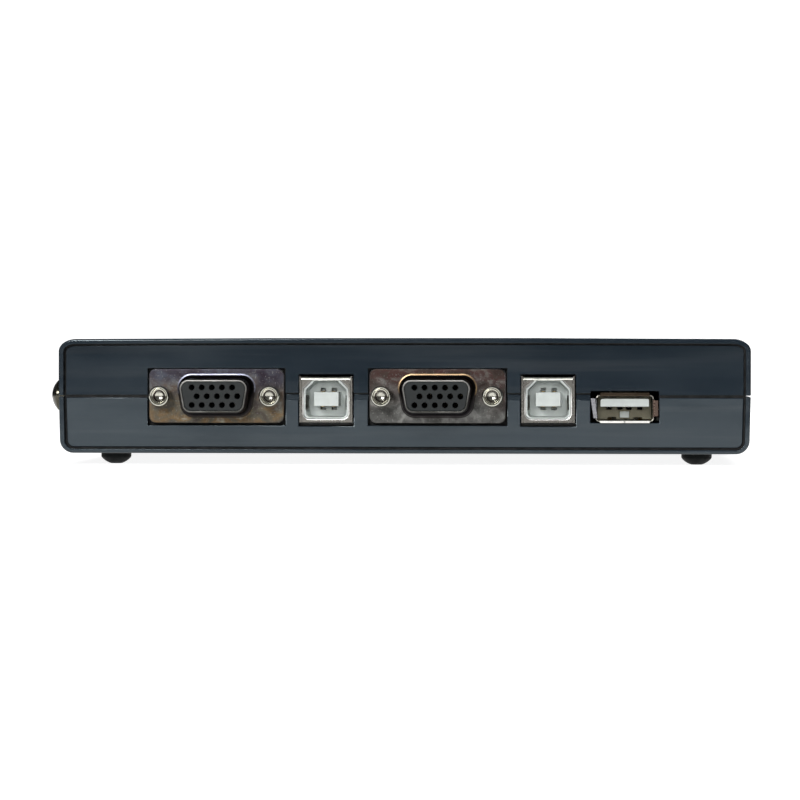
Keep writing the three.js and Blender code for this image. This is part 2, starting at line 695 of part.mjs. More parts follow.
function returnSpring() {
  const end = SPRING.wire + SEAT_GAP;
  const start = BUTTON_SEAT_X + COLLAR.thickness + HUB.length + end;
  const wire = new THREE.Shape().absarc(0, 0, SPRING.wire, 0, 2 * Math.PI);
  const drawn = new THREE.ExtrudeGeometry(wire, {
    steps: SPRING.turns * 12,
    curveSegments: 3,
    extrudePath: new Coil(start, SWITCH.x0 - end),
  });
  return solidOf(drawn);
}

function addSelectButton(parent) {
  const group = new THREE.Group();
  group.position.set(0, BUTTON_Y, FOOT_DROP + PORT_LEVEL);
  parent.add(group);
  addPiece(group, "select_button_cap", buttonCap(), PLATED_CAP);
  addPiece(group, "switch_plunger", plunger(), WHITE_INSULATOR);
  addPiece(group, "switch_spring", returnSpring(), SPRING_STEEL);
  addPiece(group, "switch_housing", switchHousing(), SWITCH_BLUE);
}

// ---------------------------------------------------------------- board

function mainBoard() {
  const { width, depth, thickness, top } = BOARD;
  const levels = [top - thickness, top];
  const sheet = centredBlock(0, width, around(depth / 2), levels);
  const bossHole = rod(CASE_BOSS.postRadius + FIT_GAP, 0, CASE_HEIGHT, 16);
  const screwHole = rod(BOARD_SCREW.radius + FIT_GAP, 0, CASE_HEIGHT, 12);
  return sheet
    .subtract(inFourCorners(CASE_SCREW_X, CASE_SCREW_Y, bossHole))
    .subtract(inFourCorners(BOARD_SCREW_X, BOARD_SCREW_Y, screwHole));
}

function chip({ at, size }) {
  const [width, depth, height] = size;
  const bottom = BOARD.top + SEAT_GAP;
  const slant = 0.25;
  const outline = roundedPolygon(
    [[-width / 2, 0], [width / 2, 0], [width / 2 - slant, height], [-width / 2 + slant, height]],
    [slant, slant, slant, slant],
  );
  return prism(outline, -depth / 2, depth / 2, 2).translate([at[0], at[1], bottom]);
}

function capacitor({ at }) {
  const { radius, height, groove, grooveLevel, grooveHeight } = CAPACITOR;
  const bottom = BOARD.top + SEAT_GAP;
  return turned([
    [0, 0],
    [radius, 0],
    [radius, grooveLevel - grooveHeight / 2],
    [radius - groove, grooveLevel],
    [radius, grooveLevel + grooveHeight / 2],
    [radius, height - groove],
    [radius - groove, height],
    [0, height],
  ], 16).translate([at[0], at[1], bottom]);
}

// An indicator lamp: a domed lens looking along +Y, and two leads bent down to the board.
function led() {
  const flangeBack = INNER_Y - 1.5;
  const front = CASE_DEPTH / 2 - PANEL_RECESS + LED_PROUD;
  const lens = turnedAlongY([
    [0, flangeBack],
    [LED_RADIUS + 0.3, flangeBack],
    [LED_RADIUS + 0.3, flangeBack + 1],
    [LED_RADIUS, flangeBack + 1],
    [LED_RADIUS, front - LED_RADIUS],
    [LED_RADIUS * 0.87, front - LED_RADIUS * 0.5],
    [LED_RADIUS * 0.5, front - LED_RADIUS * 0.13],
    [0, front],
  ], 16);
  const leadLow = BOARD.top + SEAT_GAP - PORT_LEVEL;
  const leads = [-1.27, 1.27].map((x) => {
    const back = centredBlock(x * 0.8, 0.5, [flangeBack - 2, flangeBack + 0.5], around(0.25));
    return back.add(centredBlock(x * 0.8, 0.5, [flangeBack - 2.5, flangeBack - 2], [leadLow, 0.25]));
  });
  return lens.add(leads[0]).add(leads[1]);
}

// ---------------------------------------------------------------- assembly

// The case's underside is at z = 0 in this group; its pieces are named and placed here.
function caseAndBoard() {
  const group = new THREE.Group();
  group.position.z = FOOT_DROP;
  addPiece(group, "upper_shell", upperShell(), BLACK_ABS);
  addPiece(group, "lower_shell", lowerShell(), BLACK_ABS);
  addCorners(group, "foot", FOOT_X, FOOT_Y, foot(), RUBBER);
  const caseScrew = screw(CASE_SCREW, 1).translate([0, 0, CASE_SCREW.seat - SEAT_GAP]);
  addCorners(group, "case_screw", CASE_SCREW_X, CASE_SCREW_Y, caseScrew, SCREW_STEEL);
  addPiece(group, "main_board", mainBoard(), BOARD_GREEN);
  const boardScrew = screw(BOARD_SCREW, -1).translate([0, 0, BOARD.top + SEAT_GAP]);
  addCorners(group, "board_screw", BOARD_SCREW_X, BOARD_SCREW_Y, boardScrew, SCREW_STEEL);
  CHIPS.forEach((item) => addPiece(group, item.name, chip(item), item.material));
  CAPACITORS.forEach((item) => addPiece(group, item.name, capacitor(item), CAN_ALUMINIUM));
  LEDS.forEach((item) => {
    addPiece(group, item.name, led().translate([item.x, 0, PORT_LEVEL]), LED_LENS);
  });
  return group;
}

function kvmSwitch() {
  const object = new THREE.Group();
  const assembly = new THREE.Group();
  assembly.position.x = BUTTON_PROUD / 2; // the button stands out on one side only
  object.add(assembly);
  assembly.add(caseAndBoard());
  VGA_PORTS.forEach((port) => addVgaPort(assembly, port));
  USB_B_PORTS.forEach((port) => addUsbBPort(assembly, port));
  USB_A_PORTS.forEach((port) => addUsbAPort(assembly, port));
  addSelectButton(assembly);
  return object;
}

export default kvmSwitch();
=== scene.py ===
"""The looks of a two-computer KVM switch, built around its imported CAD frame.

Blender works in metres; shapes here are drawn in millimetres and scaled once, when a piece is made.
A port is drawn at a local origin on its flange or panel, with -Y facing out of the case.
"""

import math

import bmesh
import bpy
from mathutils import Matrix, Vector


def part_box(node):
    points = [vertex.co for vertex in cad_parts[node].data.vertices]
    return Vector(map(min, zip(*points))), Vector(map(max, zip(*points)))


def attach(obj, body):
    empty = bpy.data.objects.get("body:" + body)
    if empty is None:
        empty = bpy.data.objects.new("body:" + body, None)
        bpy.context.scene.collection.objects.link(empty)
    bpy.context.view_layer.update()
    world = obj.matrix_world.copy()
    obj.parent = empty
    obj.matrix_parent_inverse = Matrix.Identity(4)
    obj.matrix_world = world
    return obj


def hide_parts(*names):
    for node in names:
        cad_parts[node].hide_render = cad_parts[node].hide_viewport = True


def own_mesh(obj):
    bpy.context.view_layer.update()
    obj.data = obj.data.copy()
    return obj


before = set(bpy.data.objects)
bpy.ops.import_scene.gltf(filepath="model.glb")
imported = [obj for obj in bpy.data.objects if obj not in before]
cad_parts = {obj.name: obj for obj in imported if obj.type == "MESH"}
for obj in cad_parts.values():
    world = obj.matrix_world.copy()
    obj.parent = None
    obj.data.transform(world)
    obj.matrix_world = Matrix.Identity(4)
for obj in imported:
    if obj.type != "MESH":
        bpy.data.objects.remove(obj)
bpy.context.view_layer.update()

MM = 0.001
CASE = "case"
BUTTON = "select_button"


def node_box(node):
    """Lowest and highest corner of a CAD node, in millimetres."""
    low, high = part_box(node)
    return low / MM, high / MM


# ---------------------------------------------------------------- dimensions

UPPER_LOW, UPPER_HIGH = node_box("upper_shell")
LOWER_LOW, LOWER_HIGH = node_box("lower_shell")
CASE_X = (UPPER_LOW.x + UPPER_HIGH.x) / 2
HALF_WIDTH = (UPPER_HIGH.x - UPPER_LOW.x) / 2
HALF_DEPTH = (UPPER_HIGH.y - UPPER_LOW.y) / 2
CASE_BOTTOM = LOWER_LOW.z
CASE_HEIGHT = UPPER_HIGH.z - LOWER_LOW.z

PARTING = 13.0
WALL = 2.0
RIM = 1.1
RIM_BELOW = 0.9
GROOVE = 0.5
GROOVE_DEPTH = 1.4
RECESS = 1.0
TOP_CORNER = (4.0, 2.8)
LOW_CORNER = 3.1
TOP_CROWN = 0.2
CROWN_FLAT = 30.0
LOWER_DRAFT = 0.22
PANEL_LEAN = math.tan(math.radians(1.5))

# The panels' edges at the parting line, above the case's underside.
UPPER_EDGE = 13.25
LOWER_EDGE = 12.6
UPPER_BRIDGE = 13.7
LOWER_BRIDGE = 12.15
LIP_TOP = 13.35

# Openings: the part of the case's opening beyond the metal on each side, and its lowest and highest level.
VGA_OPENING = {"half": 15.75, "low": 6.3, "high": 19.3}
USB_B_OPENING = {"half": 6.25, "low": 6.15, "high": 17.95}
USB_A_OPENING = {"half": 7.7, "low": 7.0, "high": 14.2}
LED_OPENING = {"half": 1.8, "low": 11.2, "high": 14.8}

# The VGA port's metal front and its nuts.
D_WIDTH, D_HEIGHT, D_LENGTH, D_WALL, D_CORNER = 16.5, 7.8, 5.9, 0.6, 2.15
D_LEAN = math.tan(math.radians(10))
D_BEND = 1.2
FLANGE_HALF_WIDTH, FLANGE_HALF_HEIGHT, FLANGE_THICK = 15.42, 6.15, 0.8
NUT_X = 12.495
CONTACT_SHIFT = 0.28
CONTACT_ROWS = 1.98


# ---------------------------------------------------------------- outlines

def arc(cx, cz, rx, rz, start, end, steps):
    """Points on an ellipse's arc, angles in degrees."""
    points = []
    for i in range(steps + 1):
        angle = math.radians(start + (end - start) * i / steps)
        points.append((cx + rx * math.cos(angle), cz + rz * math.sin(angle)))
    return points


def rounded(corners, radii, steps=6):
    """A polygon, counter-clockwise, with each corner turned into a round arc. A radius of 0 leaves a point."""
    points = []
    count = len(corners)
    for i, corner in enumerate(corners):
        here = Vector(corner)
        before = (Vector(corners[i - 1]) - here).normalized()
        after = (Vector(corners[(i + 1) % count]) - here).normalized()
        radius = radii[i]
        if radius == 0:
            points.append(tuple(here))
            continue
        half = before.angle(after) / 2
        centre = here + (before + after).normalized() * radius / math.sin(half)
        start = here + before * radius / math.tan(half) - centre
        end = here + after * radius / math.tan(half) - centre
        turn = start.angle_signed(end)
        for step in range(steps + 1):
            angle = -turn * step / steps
            cos, sin = math.cos(angle), math.sin(angle)
            x = centre.x + start.x * cos - start.y * sin
            z = centre.y + start.x * sin + start.y * cos
            points.append((x, z))
    return points


def rectangle(half_width, half_height, radius, steps=6):
    corners = [
        (-half_width, -half_height),
        (half_width, -half_height),
        (half_width, half_height),
        (-half_width, half_height),
    ]
    return rounded(corners, [radius] * 4, steps)


def inset(points, distance):
    """The outline moved inwards by distance, with as many points."""
    if distance == 0:
        return list(points)
    moved = []
    count = len(points)
    for i, point in enumerate(points):
        here = Vector(point)
        one = (here - Vector(points[i - 1])).normalized()
        two = (Vector(points[(i + 1) % count]) - here).normalized()
        normal_one = Vector((-one.y, one.x))
        normal_two = Vector((-two.y, two.x))
        middle = (normal_one + normal_two).normalized()
        reach = distance / max(middle.dot(normal_one), 0.3)
        moved.append((here.x + middle.x * reach, here.y + middle.y * reach))
    return moved


def at_depth(points, y):
    return [(x, y, z) for x, z in points]


# ---------------------------------------------------------------- meshes

def add_ring(bm, points):
    return [bm.verts.new(point) for point in points]


def bridge(bm, one, two):
    count = len(one)
    for i in range(count):
        j = (i + 1) % count
        bm.faces.new((one[i], one[j], two[j], two[i]))


def loft(bm, rings, closed=False):
    """Joins rings with as many points each; the ends are capped, or joined to each other when closed."""
    made = [add_ring(bm, ring) for ring in rings]
    for one, two in zip(made, made[1:]):
        bridge(bm, one, two)
    if closed:
        bridge(bm, made[-1], made[0])
    else:
        bm.faces.new(list(reversed(made[0])))
        bm.faces.new(made[-1])


def lathe(bm, profile, segments=48, axis="Y"):
    """Turns [radius, along] points, from axis to axis, about the named axis."""
    tips = {}
    rings = []
    for i, (radius, along) in enumerate(profile):
        if radius == 0:
            tips[i] = bm.verts.new(on_axis(axis, 0, 0, along))
            rings.append(None)
            continue
        ring = []
        for step in range(segments):
            angle = 2 * math.pi * step / segments
            ring.append(bm.verts.new(on_axis(axis, radius * math.cos(angle), radius * math.sin(angle), along)))
        rings.append(ring)
    for i in range(len(profile) - 1):
        one, two = rings[i], rings[i + 1]
        if one and two:
            bridge(bm, one, two)
        elif one or two:
            ring = one or two
            tip = tips[i] if one is None else tips[i + 1]
            for step in range(segments):
                bm.faces.new((ring[step], ring[(step + 1) % segments], tip))


def on_axis(axis, u, v, along):
    return {"X": (along, u, v), "Y": (u, along, v), "Z": (u, v, along)}[axis]


def box(bm, low, high, bevel=0.0, segments=2):
    """A box, its edges rounded when bevel isn't 0."""
    made = bmesh.ops.create_cube(bm, size=1)["verts"]
    size = Vector(high) - Vector(low)
    middle = (Vector(high) + Vector(low)) / 2
    bmesh.ops.scale(bm, vec=size, verts=made)
    bmesh.ops.translate(bm, vec=middle, verts=made)
    if bevel:
        edges = list({edge for vert in made for edge in vert.link_edges})
        bmesh.ops.bevel(
            bm, geom=edges, offset=bevel, segments=segments, profile=0.5, affect="EDGES", clamp_overlap=True
        )


def plate(bm, points, front, back, bevel, back_bevel=0.0, segments=4):
    """A slab with the given XZ outline between two depths, its front and back edges rounded."""
    rings = []
    for i in range(segments + 1):
        angle = math.pi / 2 * i / segments
        rings.append(at_depth(inset(points, bevel * (1 - math.sin(angle))), front + bevel * (1 - math.cos(angle))))
    if back_bevel:
        for i in range(segments + 1):
            angle = math.pi / 2 * i / segments
            depth = back - back_bevel * (1 - math.sin(angle))
            rings.append(at_depth(inset(points, back_bevel * (1 - math.cos(angle))), depth))
    else:
        rings.append(at_depth(points, back))
    loft(bm, rings)


def cut(bm, cutter):
    """Takes the solid in cutter away from the solid in bm."""
    one = temporary("cut_from", bm)
    two = temporary("cutter", cutter)
    change = one.modifiers.new("cut", "BOOLEAN")
    change.operation = "DIFFERENCE"
    change.solver = "EXACT"
    change.object = two
    graph = bpy.context.evaluated_depsgraph_get()
    done = bmesh.new()
    done.from_mesh(one.evaluated_get(graph).data)
    for obj in (one, two):
        mesh = obj.data
        bpy.data.objects.remove(obj)
        bpy.data.meshes.remove(mesh)
    return done


def temporary(name, bm):
    bmesh.ops.recalc_face_normals(bm, faces=bm.faces)
    mesh = bpy.data.meshes.new(name)
    bm.to_mesh(mesh)
    bm.free()
    obj = bpy.data.objects.new(name, mesh)
    bpy.context.scene.collection.objects.link(obj)
    bpy.context.view_layer.update()
    return obj


SHARP = math.radians(34)


def piece(name, bm, material, replaces=(), body=CASE, matrix=None):
    """Makes the object: smooth faces with sharp creases, its material, its body and what it stands for."""
    bmesh.ops.recalc_face_normals(bm, faces=bm.faces)
    if matrix:
        bm.transform(matrix)
    bm.transform(Matrix.Scale(MM, 4))
    for face in bm.faces:
        face.smooth = True
    for edge in bm.edges:
        edge.smooth = len(edge.link_faces) == 2 and edge.calc_face_angle(0) < SHARP
    mesh = bpy.data.meshes.new(name)
    bm.to_mesh(mesh)
    bm.free()
    obj = bpy.data.objects.new(name, mesh)
    bpy.context.scene.collection.objects.link(obj)
    mesh.materials.append(material)
    weighted = obj.modifiers.new("flat_faces_stay_flat", "WEIGHTED_NORMAL")
    weighted.keep_sharp = True
    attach(obj, body)
    if replaces:
        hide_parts(*replaces)
    return obj


# ---------------------------------------------------------------- materials

def new_material(name, color, roughness, metallic=0.0, specular=0.5):
    material = bpy.data.materials.new(name)
    material.use_nodes = True
    shader = material.node_tree.nodes["Principled BSDF"]
    shader.inputs["Base Color"].default_value = (*color, 1)
    shader.inputs["Roughness"].default_value = roughness
    shader.inputs["Metallic"].default_value = metallic
    shader.inputs["Specular IOR Level"].default_value = specular
    return material


def node(material, kind, **values):
    made = material.node_tree.nodes.new(kind)
    for key, value in values.items():
        setattr(made, key, value)
    return made


def link(material, source, target):
    material.node_tree.links.new(source, target)


def shader_input(material, name):
    return material.node_tree.nodes["Principled BSDF"].inputs[name]


def noise(material, scale, detail=4.0, stretch=(1, 1, 1), distortion=0.0, offset=0.0):
    """Noise over the object's own metres; scale is in cells to the metre."""
    place = node(material, "ShaderNodeTexCoord")
    mapping = node(material, "ShaderNodeMapping")
    mapping.inputs["Scale"].default_value = stretch
    mapping.inputs["Location"].default_value = (offset, offset, offset)
    texture = node(material, "ShaderNodeTexNoise")
    texture.inputs["Scale"].default_value = scale
    texture.inputs["Detail"].default_value = detail
    texture.inputs["Distortion"].default_value = distortion
    link(material, place.outputs["Object"], mapping.inputs["Vector"])
    link(material, mapping.outputs["Vector"], texture.inputs["Vector"])
    return texture.outputs["Fac"]


def ramp(material, factor, stops):
    """A colour ramp from (position, colour) stops."""
    made = node(material, "ShaderNodeValToRGB")
    elements = made.color_ramp.elements
    while len(elements) < len(stops):
        elements.new(0.5)
    for element, (position, color) in zip(elements, stops):
        element.position = position
        element.color = (*color, 1)
    link(material, factor, made.inputs["Fac"])
    return made.outputs["Color"]


def spread(material, factor, low, high, start=0.3, end=0.7):
    """Noise stretched from start..end to low..high."""
    made = node(material, "ShaderNodeMapRange")
    made.inputs["From Min"].default_value = start
    made.inputs["From Max"].default_value = end
    made.inputs["To Min"].default_value = low
    made.inputs["To Max"].default_value = high
    link(material, factor, made.inputs["Value"])
    return made.outputs["Result"]


def mix(material, factor, one, two, blend="MIX"):
    """Mixes two colours; factor is a number or a socket."""
    made = node(material, "ShaderNodeMix", data_type="RGBA", blend_type=blend)
    for value, socket in ((factor, made.inputs[0]), (one, made.inputs[6]), (two, made.inputs[7])):
        if isinstance(value, bpy.types.NodeSocket):
            link(material, value, socket)
        elif isinstance(value, tuple):
            socket.default_value = (*value, 1)
        else:
            socket.default_value = value
    return made.outputs[2]


def bump(material, *layers):
    """Adds height layers, each (height socket, distance in metres)."""
    normal = None
    for height, distance in layers:
        made = node(material, "ShaderNodeBump")
        made.inputs["Distance"].default_value = distance
        link(material, height, made.inputs["Height"])
        if normal:
            link(material, normal, made.inputs["Normal"])
        normal = made.outputs["Normal"]
    link(material, normal, shader_input(material, "Normal"))


def case_plastic():
    """Semi-gloss black ABS: fine moulded grain, level flow marks, smudges and rubbed streaks."""
    material = new_material("black_abs", (0.014, 0.021, 0.029), 0.16)
    shader_input(material, "IOR").default_value = 1.55
    flow = noise(material, 40, 4, (0.35, 1, 3.0))
    streaks = noise(material, 120, 3, (0.12, 0.5, 3.0), offset=3.1)
    smudges = noise(material, 65, 5, (0.55, 1, 1.3), offset=7.7)
    base = ramp(
        material,
        flow,
        [(0.3, (0.009, 0.015, 0.022)), (0.5, (0.014, 0.021, 0.029)), (0.72, (0.020, 0.027, 0.035))],
    )
    rubbed = mix(material, spread(material, streaks, 0, 0.6, 0.52, 0.75), base, (0.034, 0.040, 0.046))
    smudged = mix(material, spread(material, smudges, 0, 0.6, 0.52, 0.75), rubbed, (0.008, 0.013, 0.020))
    link(material, smudged, shader_input(material, "Base Color"))
    rough = spread(material, smudges, 0.10, 0.21)
    link(material, rough, shader_input(material, "Roughness"))
    grain = noise(material, 5200, 2)
    waves = noise(material, 60, 2, (0.5, 1, 1.6), offset=9.1)
    dents = noise(material, 190, 2, (0.4, 1, 1.8), offset=5.3)
    bump(material, (waves, 0.00012), (dents, 0.00002), (grain, 0.0000018))
    shader_input(material, "Specular Tint").default_value = (0.84, 0.96, 1, 1)
    return material


def rubber():
    material = new_material("black_rubber", (0.002, 0.003, 0.003), 0.6, specular=0.15)
    dust = noise(material, 900, 6, offset=0.4)
    color = ramp(material, dust, [(0.45, (0.002, 0.003, 0.003)), (0.8, (0.006, 0.007, 0.007))])
    link(material, color, shader_input(material, "Base Color"))
    link(material, spread(material, dust, 0.5, 0.75), shader_input(material, "Roughness"))
    bump(material, (noise(material, 4000, 3), 0.000012))
    return material


def object_axis(material, axis):
    """The X, Y or Z coordinate in metres."""
    place = node(material, "ShaderNodeTexCoord")
    split = node(material, "ShaderNodeSeparateXYZ")
    link(material, place.outputs["Object"], split.inputs["Vector"])
    return split.outputs[axis]


def tarnished_nickel(name, upper, lower, bend, seed):
    """Nickel plate: tarnish in patches with other tints above than below, the lower half lighter as a painted
    reflection of the floor; painted shade on the drawn tube and under the bend; painted highlights on the bend, the
    tube's rim and the flange's edge.
    """
    material = new_material(name, (0.2, 0.2, 0.2), 0.42, 1.0)
    patches = noise(material, 260, 8, (1, 1, 1.4), 0.7, seed)
    height = object_axis(material, "Z")
    middle = (CASE_BOTTOM + PARTING) * MM
    wander = spread(material, noise(material, 160, 3, offset=seed + 5), -0.003, 0.003)
    level = node(material, "ShaderNodeMath", operation="ADD")
    link(material, height, level.inputs[0])
    link(material, wander, level.inputs[1])
    share = spread(material, level.outputs[0], 0, 1, middle - 0.0035, middle + 0.0035)
    # The tint changes with height as tarnish; the lower half's lighter tint is a painted reflection of the bright
    # floor.
    flat = mix(material, share, ramp(material, patches, lower), ramp(material, patches, upper))
    speck = noise(material, 1500, 5, offset=seed + 2)
    dull = mix(material, spread(material, speck, 0, 0.6, 0.52, 0.75), flat, (0.05, 0.042, 0.04))
    # Dark specks are dirt; the light specks are painted glints.
    glints = noise(material, 2600, 4, offset=seed + 8)
    dirt_and_glints = mix(material, spread(material, glints, 0, 0.35, 0.60, 0.72), dull, (0.34, 0.33, 0.31))
    out = node(material, "ShaderNodeMath", operation="ABSOLUTE")
    link(material, object_axis(material, "Y"), out.inputs[0])
    flange = (HALF_DEPTH - RECESS) * MM
    along = spread(material, out.outputs[0], 0, 1, flange, flange + D_LENGTH * MM)
    black, white = (0, 0, 0), (1, 1, 1)
    # The bend round the tube's base: a painted highlight on its upper part that turns to painted shade below.
    high = spread(material, level.outputs[0], 0, 1, middle - 0.0005, middle + 0.0035)
    bend_highlight_tint = mix(material, high, (0.014, 0.012, 0.012), bend)
    bend_highlight_mask = ramp(material, along, [(0.0, black), (0.001, white), (0.009, white), (0.017, black)])
    bent = mix(material, bend_highlight_mask, dirt_and_glints, bend_highlight_tint)
    # The drawn tube's wall is painted near black as painted shade.
    tube_shade_mask = ramp(material, along, [(0.010, black), (0.018, white), (0.988, white), (0.995, black)])
    tube = mix(material, tube_shade_mask, bent, (0.016, 0.014, 0.015))
    # The tube's front rim carries a painted highlight, bright above and dim below.
    rim_highlight_tint = mix(material, share, (0.06, 0.06, 0.055), (0.28, 0.275, 0.26))
    rim_highlight_mask = ramp(material, along, [(0.988, black), (0.995, white)])
    rim_highlighted = mix(material, rim_highlight_mask, tube, rim_highlight_tint)
    # The flange's rounded outer edge carries a painted highlight, bright above and dim below.
    edge_highlight_mask = spread(material, out.outputs[0], 1, 0, flange - 0.00016, flange - 0.00003)
    edge_highlighted = mix(material, edge_highlight_mask, rim_highlighted, mix(material, share, (0.16, 0.15, 0.13), (0.9, 0.9, 0.9)))
    link(material, edge_highlighted, shader_input(material, "Base Color"))
    rough = noise(material, 480, 5, offset=seed)
    link(material, spread(material, rough, 0.34, 0.50), shader_input(material, "Roughness"))
    bump(material, (noise(material, 700, 3, offset=seed), 0.00003), (speck, 0.000008))
    return material


def bright_metal(name, color, low, high, seed=0.0, stretch=(1, 1, 1)):
    """Bright plating with fine drawn lines and a few dull patches."""
    material = new_material(name, color, (low + high) / 2, 1.0)
    dull = noise(material, 900, 5, stretch, 0.4, seed)
    dark = tuple(c * 0.62 for c in color)
    link(material, mix(material, spread(material, dull, 0, 0.8, 0.45, 0.75), color, dark), shader_input(material, "Base Color"))
    link(material, spread(material, dull, low, high), shader_input(material, "Roughness"))
    bump(material, (noise(material, 1600, 3, stretch, offset=seed), 0.000004))
    return material


def rolled_edge_metal():
    """Tin plate on the square mouth's rolled edge, painted bright below its middle as a painted highlight and dark
    above as painted shade.
    """
    material = bright_metal("usb_roll", (0.92, 0.92, 0.89), 0.3, 0.4, 3.4)
    low, high = node_box("pc1_usb_shell")
    middle = (low.z + high.z) / 2 * MM
    share = spread(material, object_axis(material, "Z"), 0, 1, middle, middle + 0.0025)
    # Near white below the middle is a painted highlight; the dark above it is painted shade.
    color = mix(material, share, (0.92, 0.92, 0.89), (0.26, 0.26, 0.245))
    link(material, color, shader_input(material, "Base Color"))
    return material


def plain_plastic(name, color, roughness, shade=0.75, scale=700, grain=0.000008):
    """Moulded plastic: slight colour variation and a fine grain."""
    material = new_material(name, color, roughness)
    cloud = noise(material, scale, 5)
    dark = tuple(c * shade for c in color)
    link(material, ramp(material, cloud, [(0.35, dark), (0.62, color)]), shader_input(material, "Base Color"))
    link(material, spread(material, cloud, roughness * 0.85, min(1.0, roughness * 1.2)), shader_input(material, "Roughness"))
    bump(material, (noise(material, 5000, 2), grain))
    return material


def white_plastic():
    material = plain_plastic("white_plastic", (0.58, 0.62, 0.60), 0.42, 0.92)
    shader_input(material, "Subsurface Weight").default_value = 0.15
    shader_input(material, "Subsurface Radius").default_value = (0.6, 0.6, 0.5)
    shader_input(material, "Subsurface Scale").default_value = 0.0008
    return material


def board_laminate():
    """Solder resist over copper: traces in wavy diagonal bands."""
    material = new_material("board_laminate", (0.008, 0.035, 0.016), 0.35)
    lines = node(material, "ShaderNodeTexWave", wave_type="BANDS", bands_direction="DIAGONAL")
    lines.inputs["Scale"].default_value = 260
    lines.inputs["Distortion"].default_value = 3.0
    place = node(material, "ShaderNodeTexCoord")
    link(material, place.outputs["Object"], lines.inputs["Vector"])
    traces = ramp(material, lines.outputs["Fac"], [(0.42, (0.005, 0.028, 0.012)), (0.5, (0.010, 0.050, 0.020))])
    cloud = noise(material, 60, 3)
    resist = mix(material, spread(material, cloud, 0, 0.6), traces, (0.006, 0.032, 0.014))
    out = node(material, "ShaderNodeMath", operation="ABSOLUTE")
    link(material, object_axis(material, "Y"), out.inputs[0])
    # The last millimetre of the board at each end is painted near black as painted shade where it shows through the
    # openings.
    border = node_box("main_board")[1].y * MM
    edge_shade = spread(material, out.outputs[0], 0, 1, border - 0.0011, border - 0.001)
    link(material, mix(material, edge_shade, resist, (0.003, 0.003, 0.002)), shader_input(material, "Base Color"))
    bump(material, (lines.outputs["Fac"], 0.00003))
    return material


def led_epoxy():
    material = plain_plastic("led_epoxy", (0.16, 0.52, 0.20), 0.12, 0.8)
    shader_input(material, "Transmission Weight").default_value = 0.55
    shader_input(material, "IOR").default_value = 1.5
    return material


# Tarnish tints; where a flange's lower ramp is lighter than its upper one, the extra lightness is a painted reflection
# of the floor.
PURPLE_GREY = [(0.3, (0.026, 0.020, 0.028)), (0.5, (0.046, 0.043, 0.054)), (0.64, (0.066, 0.070, 0.088))]
OLIVE_BROWN = [(0.3, (0.050, 0.040, 0.036)), (0.45, (0.085, 0.078, 0.060)), (0.57, (0.13, 0.088, 0.048)), (0.68, (0.20, 0.19, 0.15))]
MAROON_GREY = [(0.3, (0.030, 0.018, 0.016)), (0.45, (0.050, 0.038, 0.033)), (0.55, (0.058, 0.030, 0.027)), (0.68, (0.12, 0.11, 0.10))]
SILVER_GREY = [(0.3, (0.050, 0.050, 0.047)), (0.5, (0.100, 0.100, 0.095)), (0.66, (0.20, 0.20, 0.19))]
# Painted highlight colours for the bend round each D tube's base.
BLUISH_BEND_HIGHLIGHT = (0.42, 0.44, 0.56)
GOLDEN_BEND_HIGHLIGHT = (0.62, 0.43, 0.24)

ABS = case_plastic()
RUBBER = rubber()
FLANGE_METALS = {
    "pc1_vga": tarnished_nickel("nickel_one", PURPLE_GREY, OLIVE_BROWN, BLUISH_BEND_HIGHLIGHT, 0.8),
    "pc2_vga": tarnished_nickel("nickel_two", MAROON_GREY, SILVER_GREY, GOLDEN_BEND_HIGHLIGHT, 4.2),
    "console_vga": tarnished_nickel("nickel_three", SILVER_GREY, SILVER_GREY, BLUISH_BEND_HIGHLIGHT, 7.7),
}
NUT_METAL = bright_metal("nut_nickel", (0.56, 0.55, 0.48), 0.16, 0.26, 1.3)
# The thread is in dark metal as painted shade in the nut's bore.
THREAD_SHADE_METAL = bright_metal("nut_thread", (0.12, 0.10, 0.09), 0.3, 0.4, 1.9)
USB_METAL = bright_metal("usb_tin", (0.22, 0.21, 0.19), 0.22, 0.36, 2.1)
# The brow is a much lighter copy of the port's tin: a painted highlight on the bend.
BROW_HIGHLIGHT_METAL = bright_metal("usb_brow_painted_highlight", (0.80, 0.81, 0.73), 0.42, 0.5, 2.9)
ROLL_METAL = rolled_edge_metal()
FLARE_METAL = bright_metal("usb_sleeve", (0.36, 0.345, 0.30), 0.16, 0.32, 5.2)
BUTTON_METAL = bright_metal("button_plating", (0.075, 0.070, 0.055), 0.16, 0.26, 3.3)
# The roof lip's dark brown, far darker than the sleeve it is bent from, is painted shade.
ROOF_LIP_SHADE_METAL = bright_metal("usb_roof_lip_painted_shade", (0.11, 0.08, 0.055), 0.14, 0.28, 8.2, (0.3, 1, 1))
# The floor lip is a near-white copy of the sleeve's metal: a painted highlight on the lip.
FLOOR_LIP_HIGHLIGHT_METAL = bright_metal("usb_floor_lip_painted_highlight", (0.85, 0.84, 0.80), 0.2, 0.3, 4.4, (0.3, 1, 1))
COPPER_TAB_METAL = bright_metal("usb_copper_tab", (0.19, 0.135, 0.11), 0.18, 0.34, 9.2)
SILVER_TAB_METAL = bright_metal("usb_silver_tab", (0.30, 0.30, 0.32), 0.18, 0.34, 9.9)
GOLD = bright_metal("contact_gold", (0.75, 0.55, 0.25), 0.2, 0.35, 0.4)
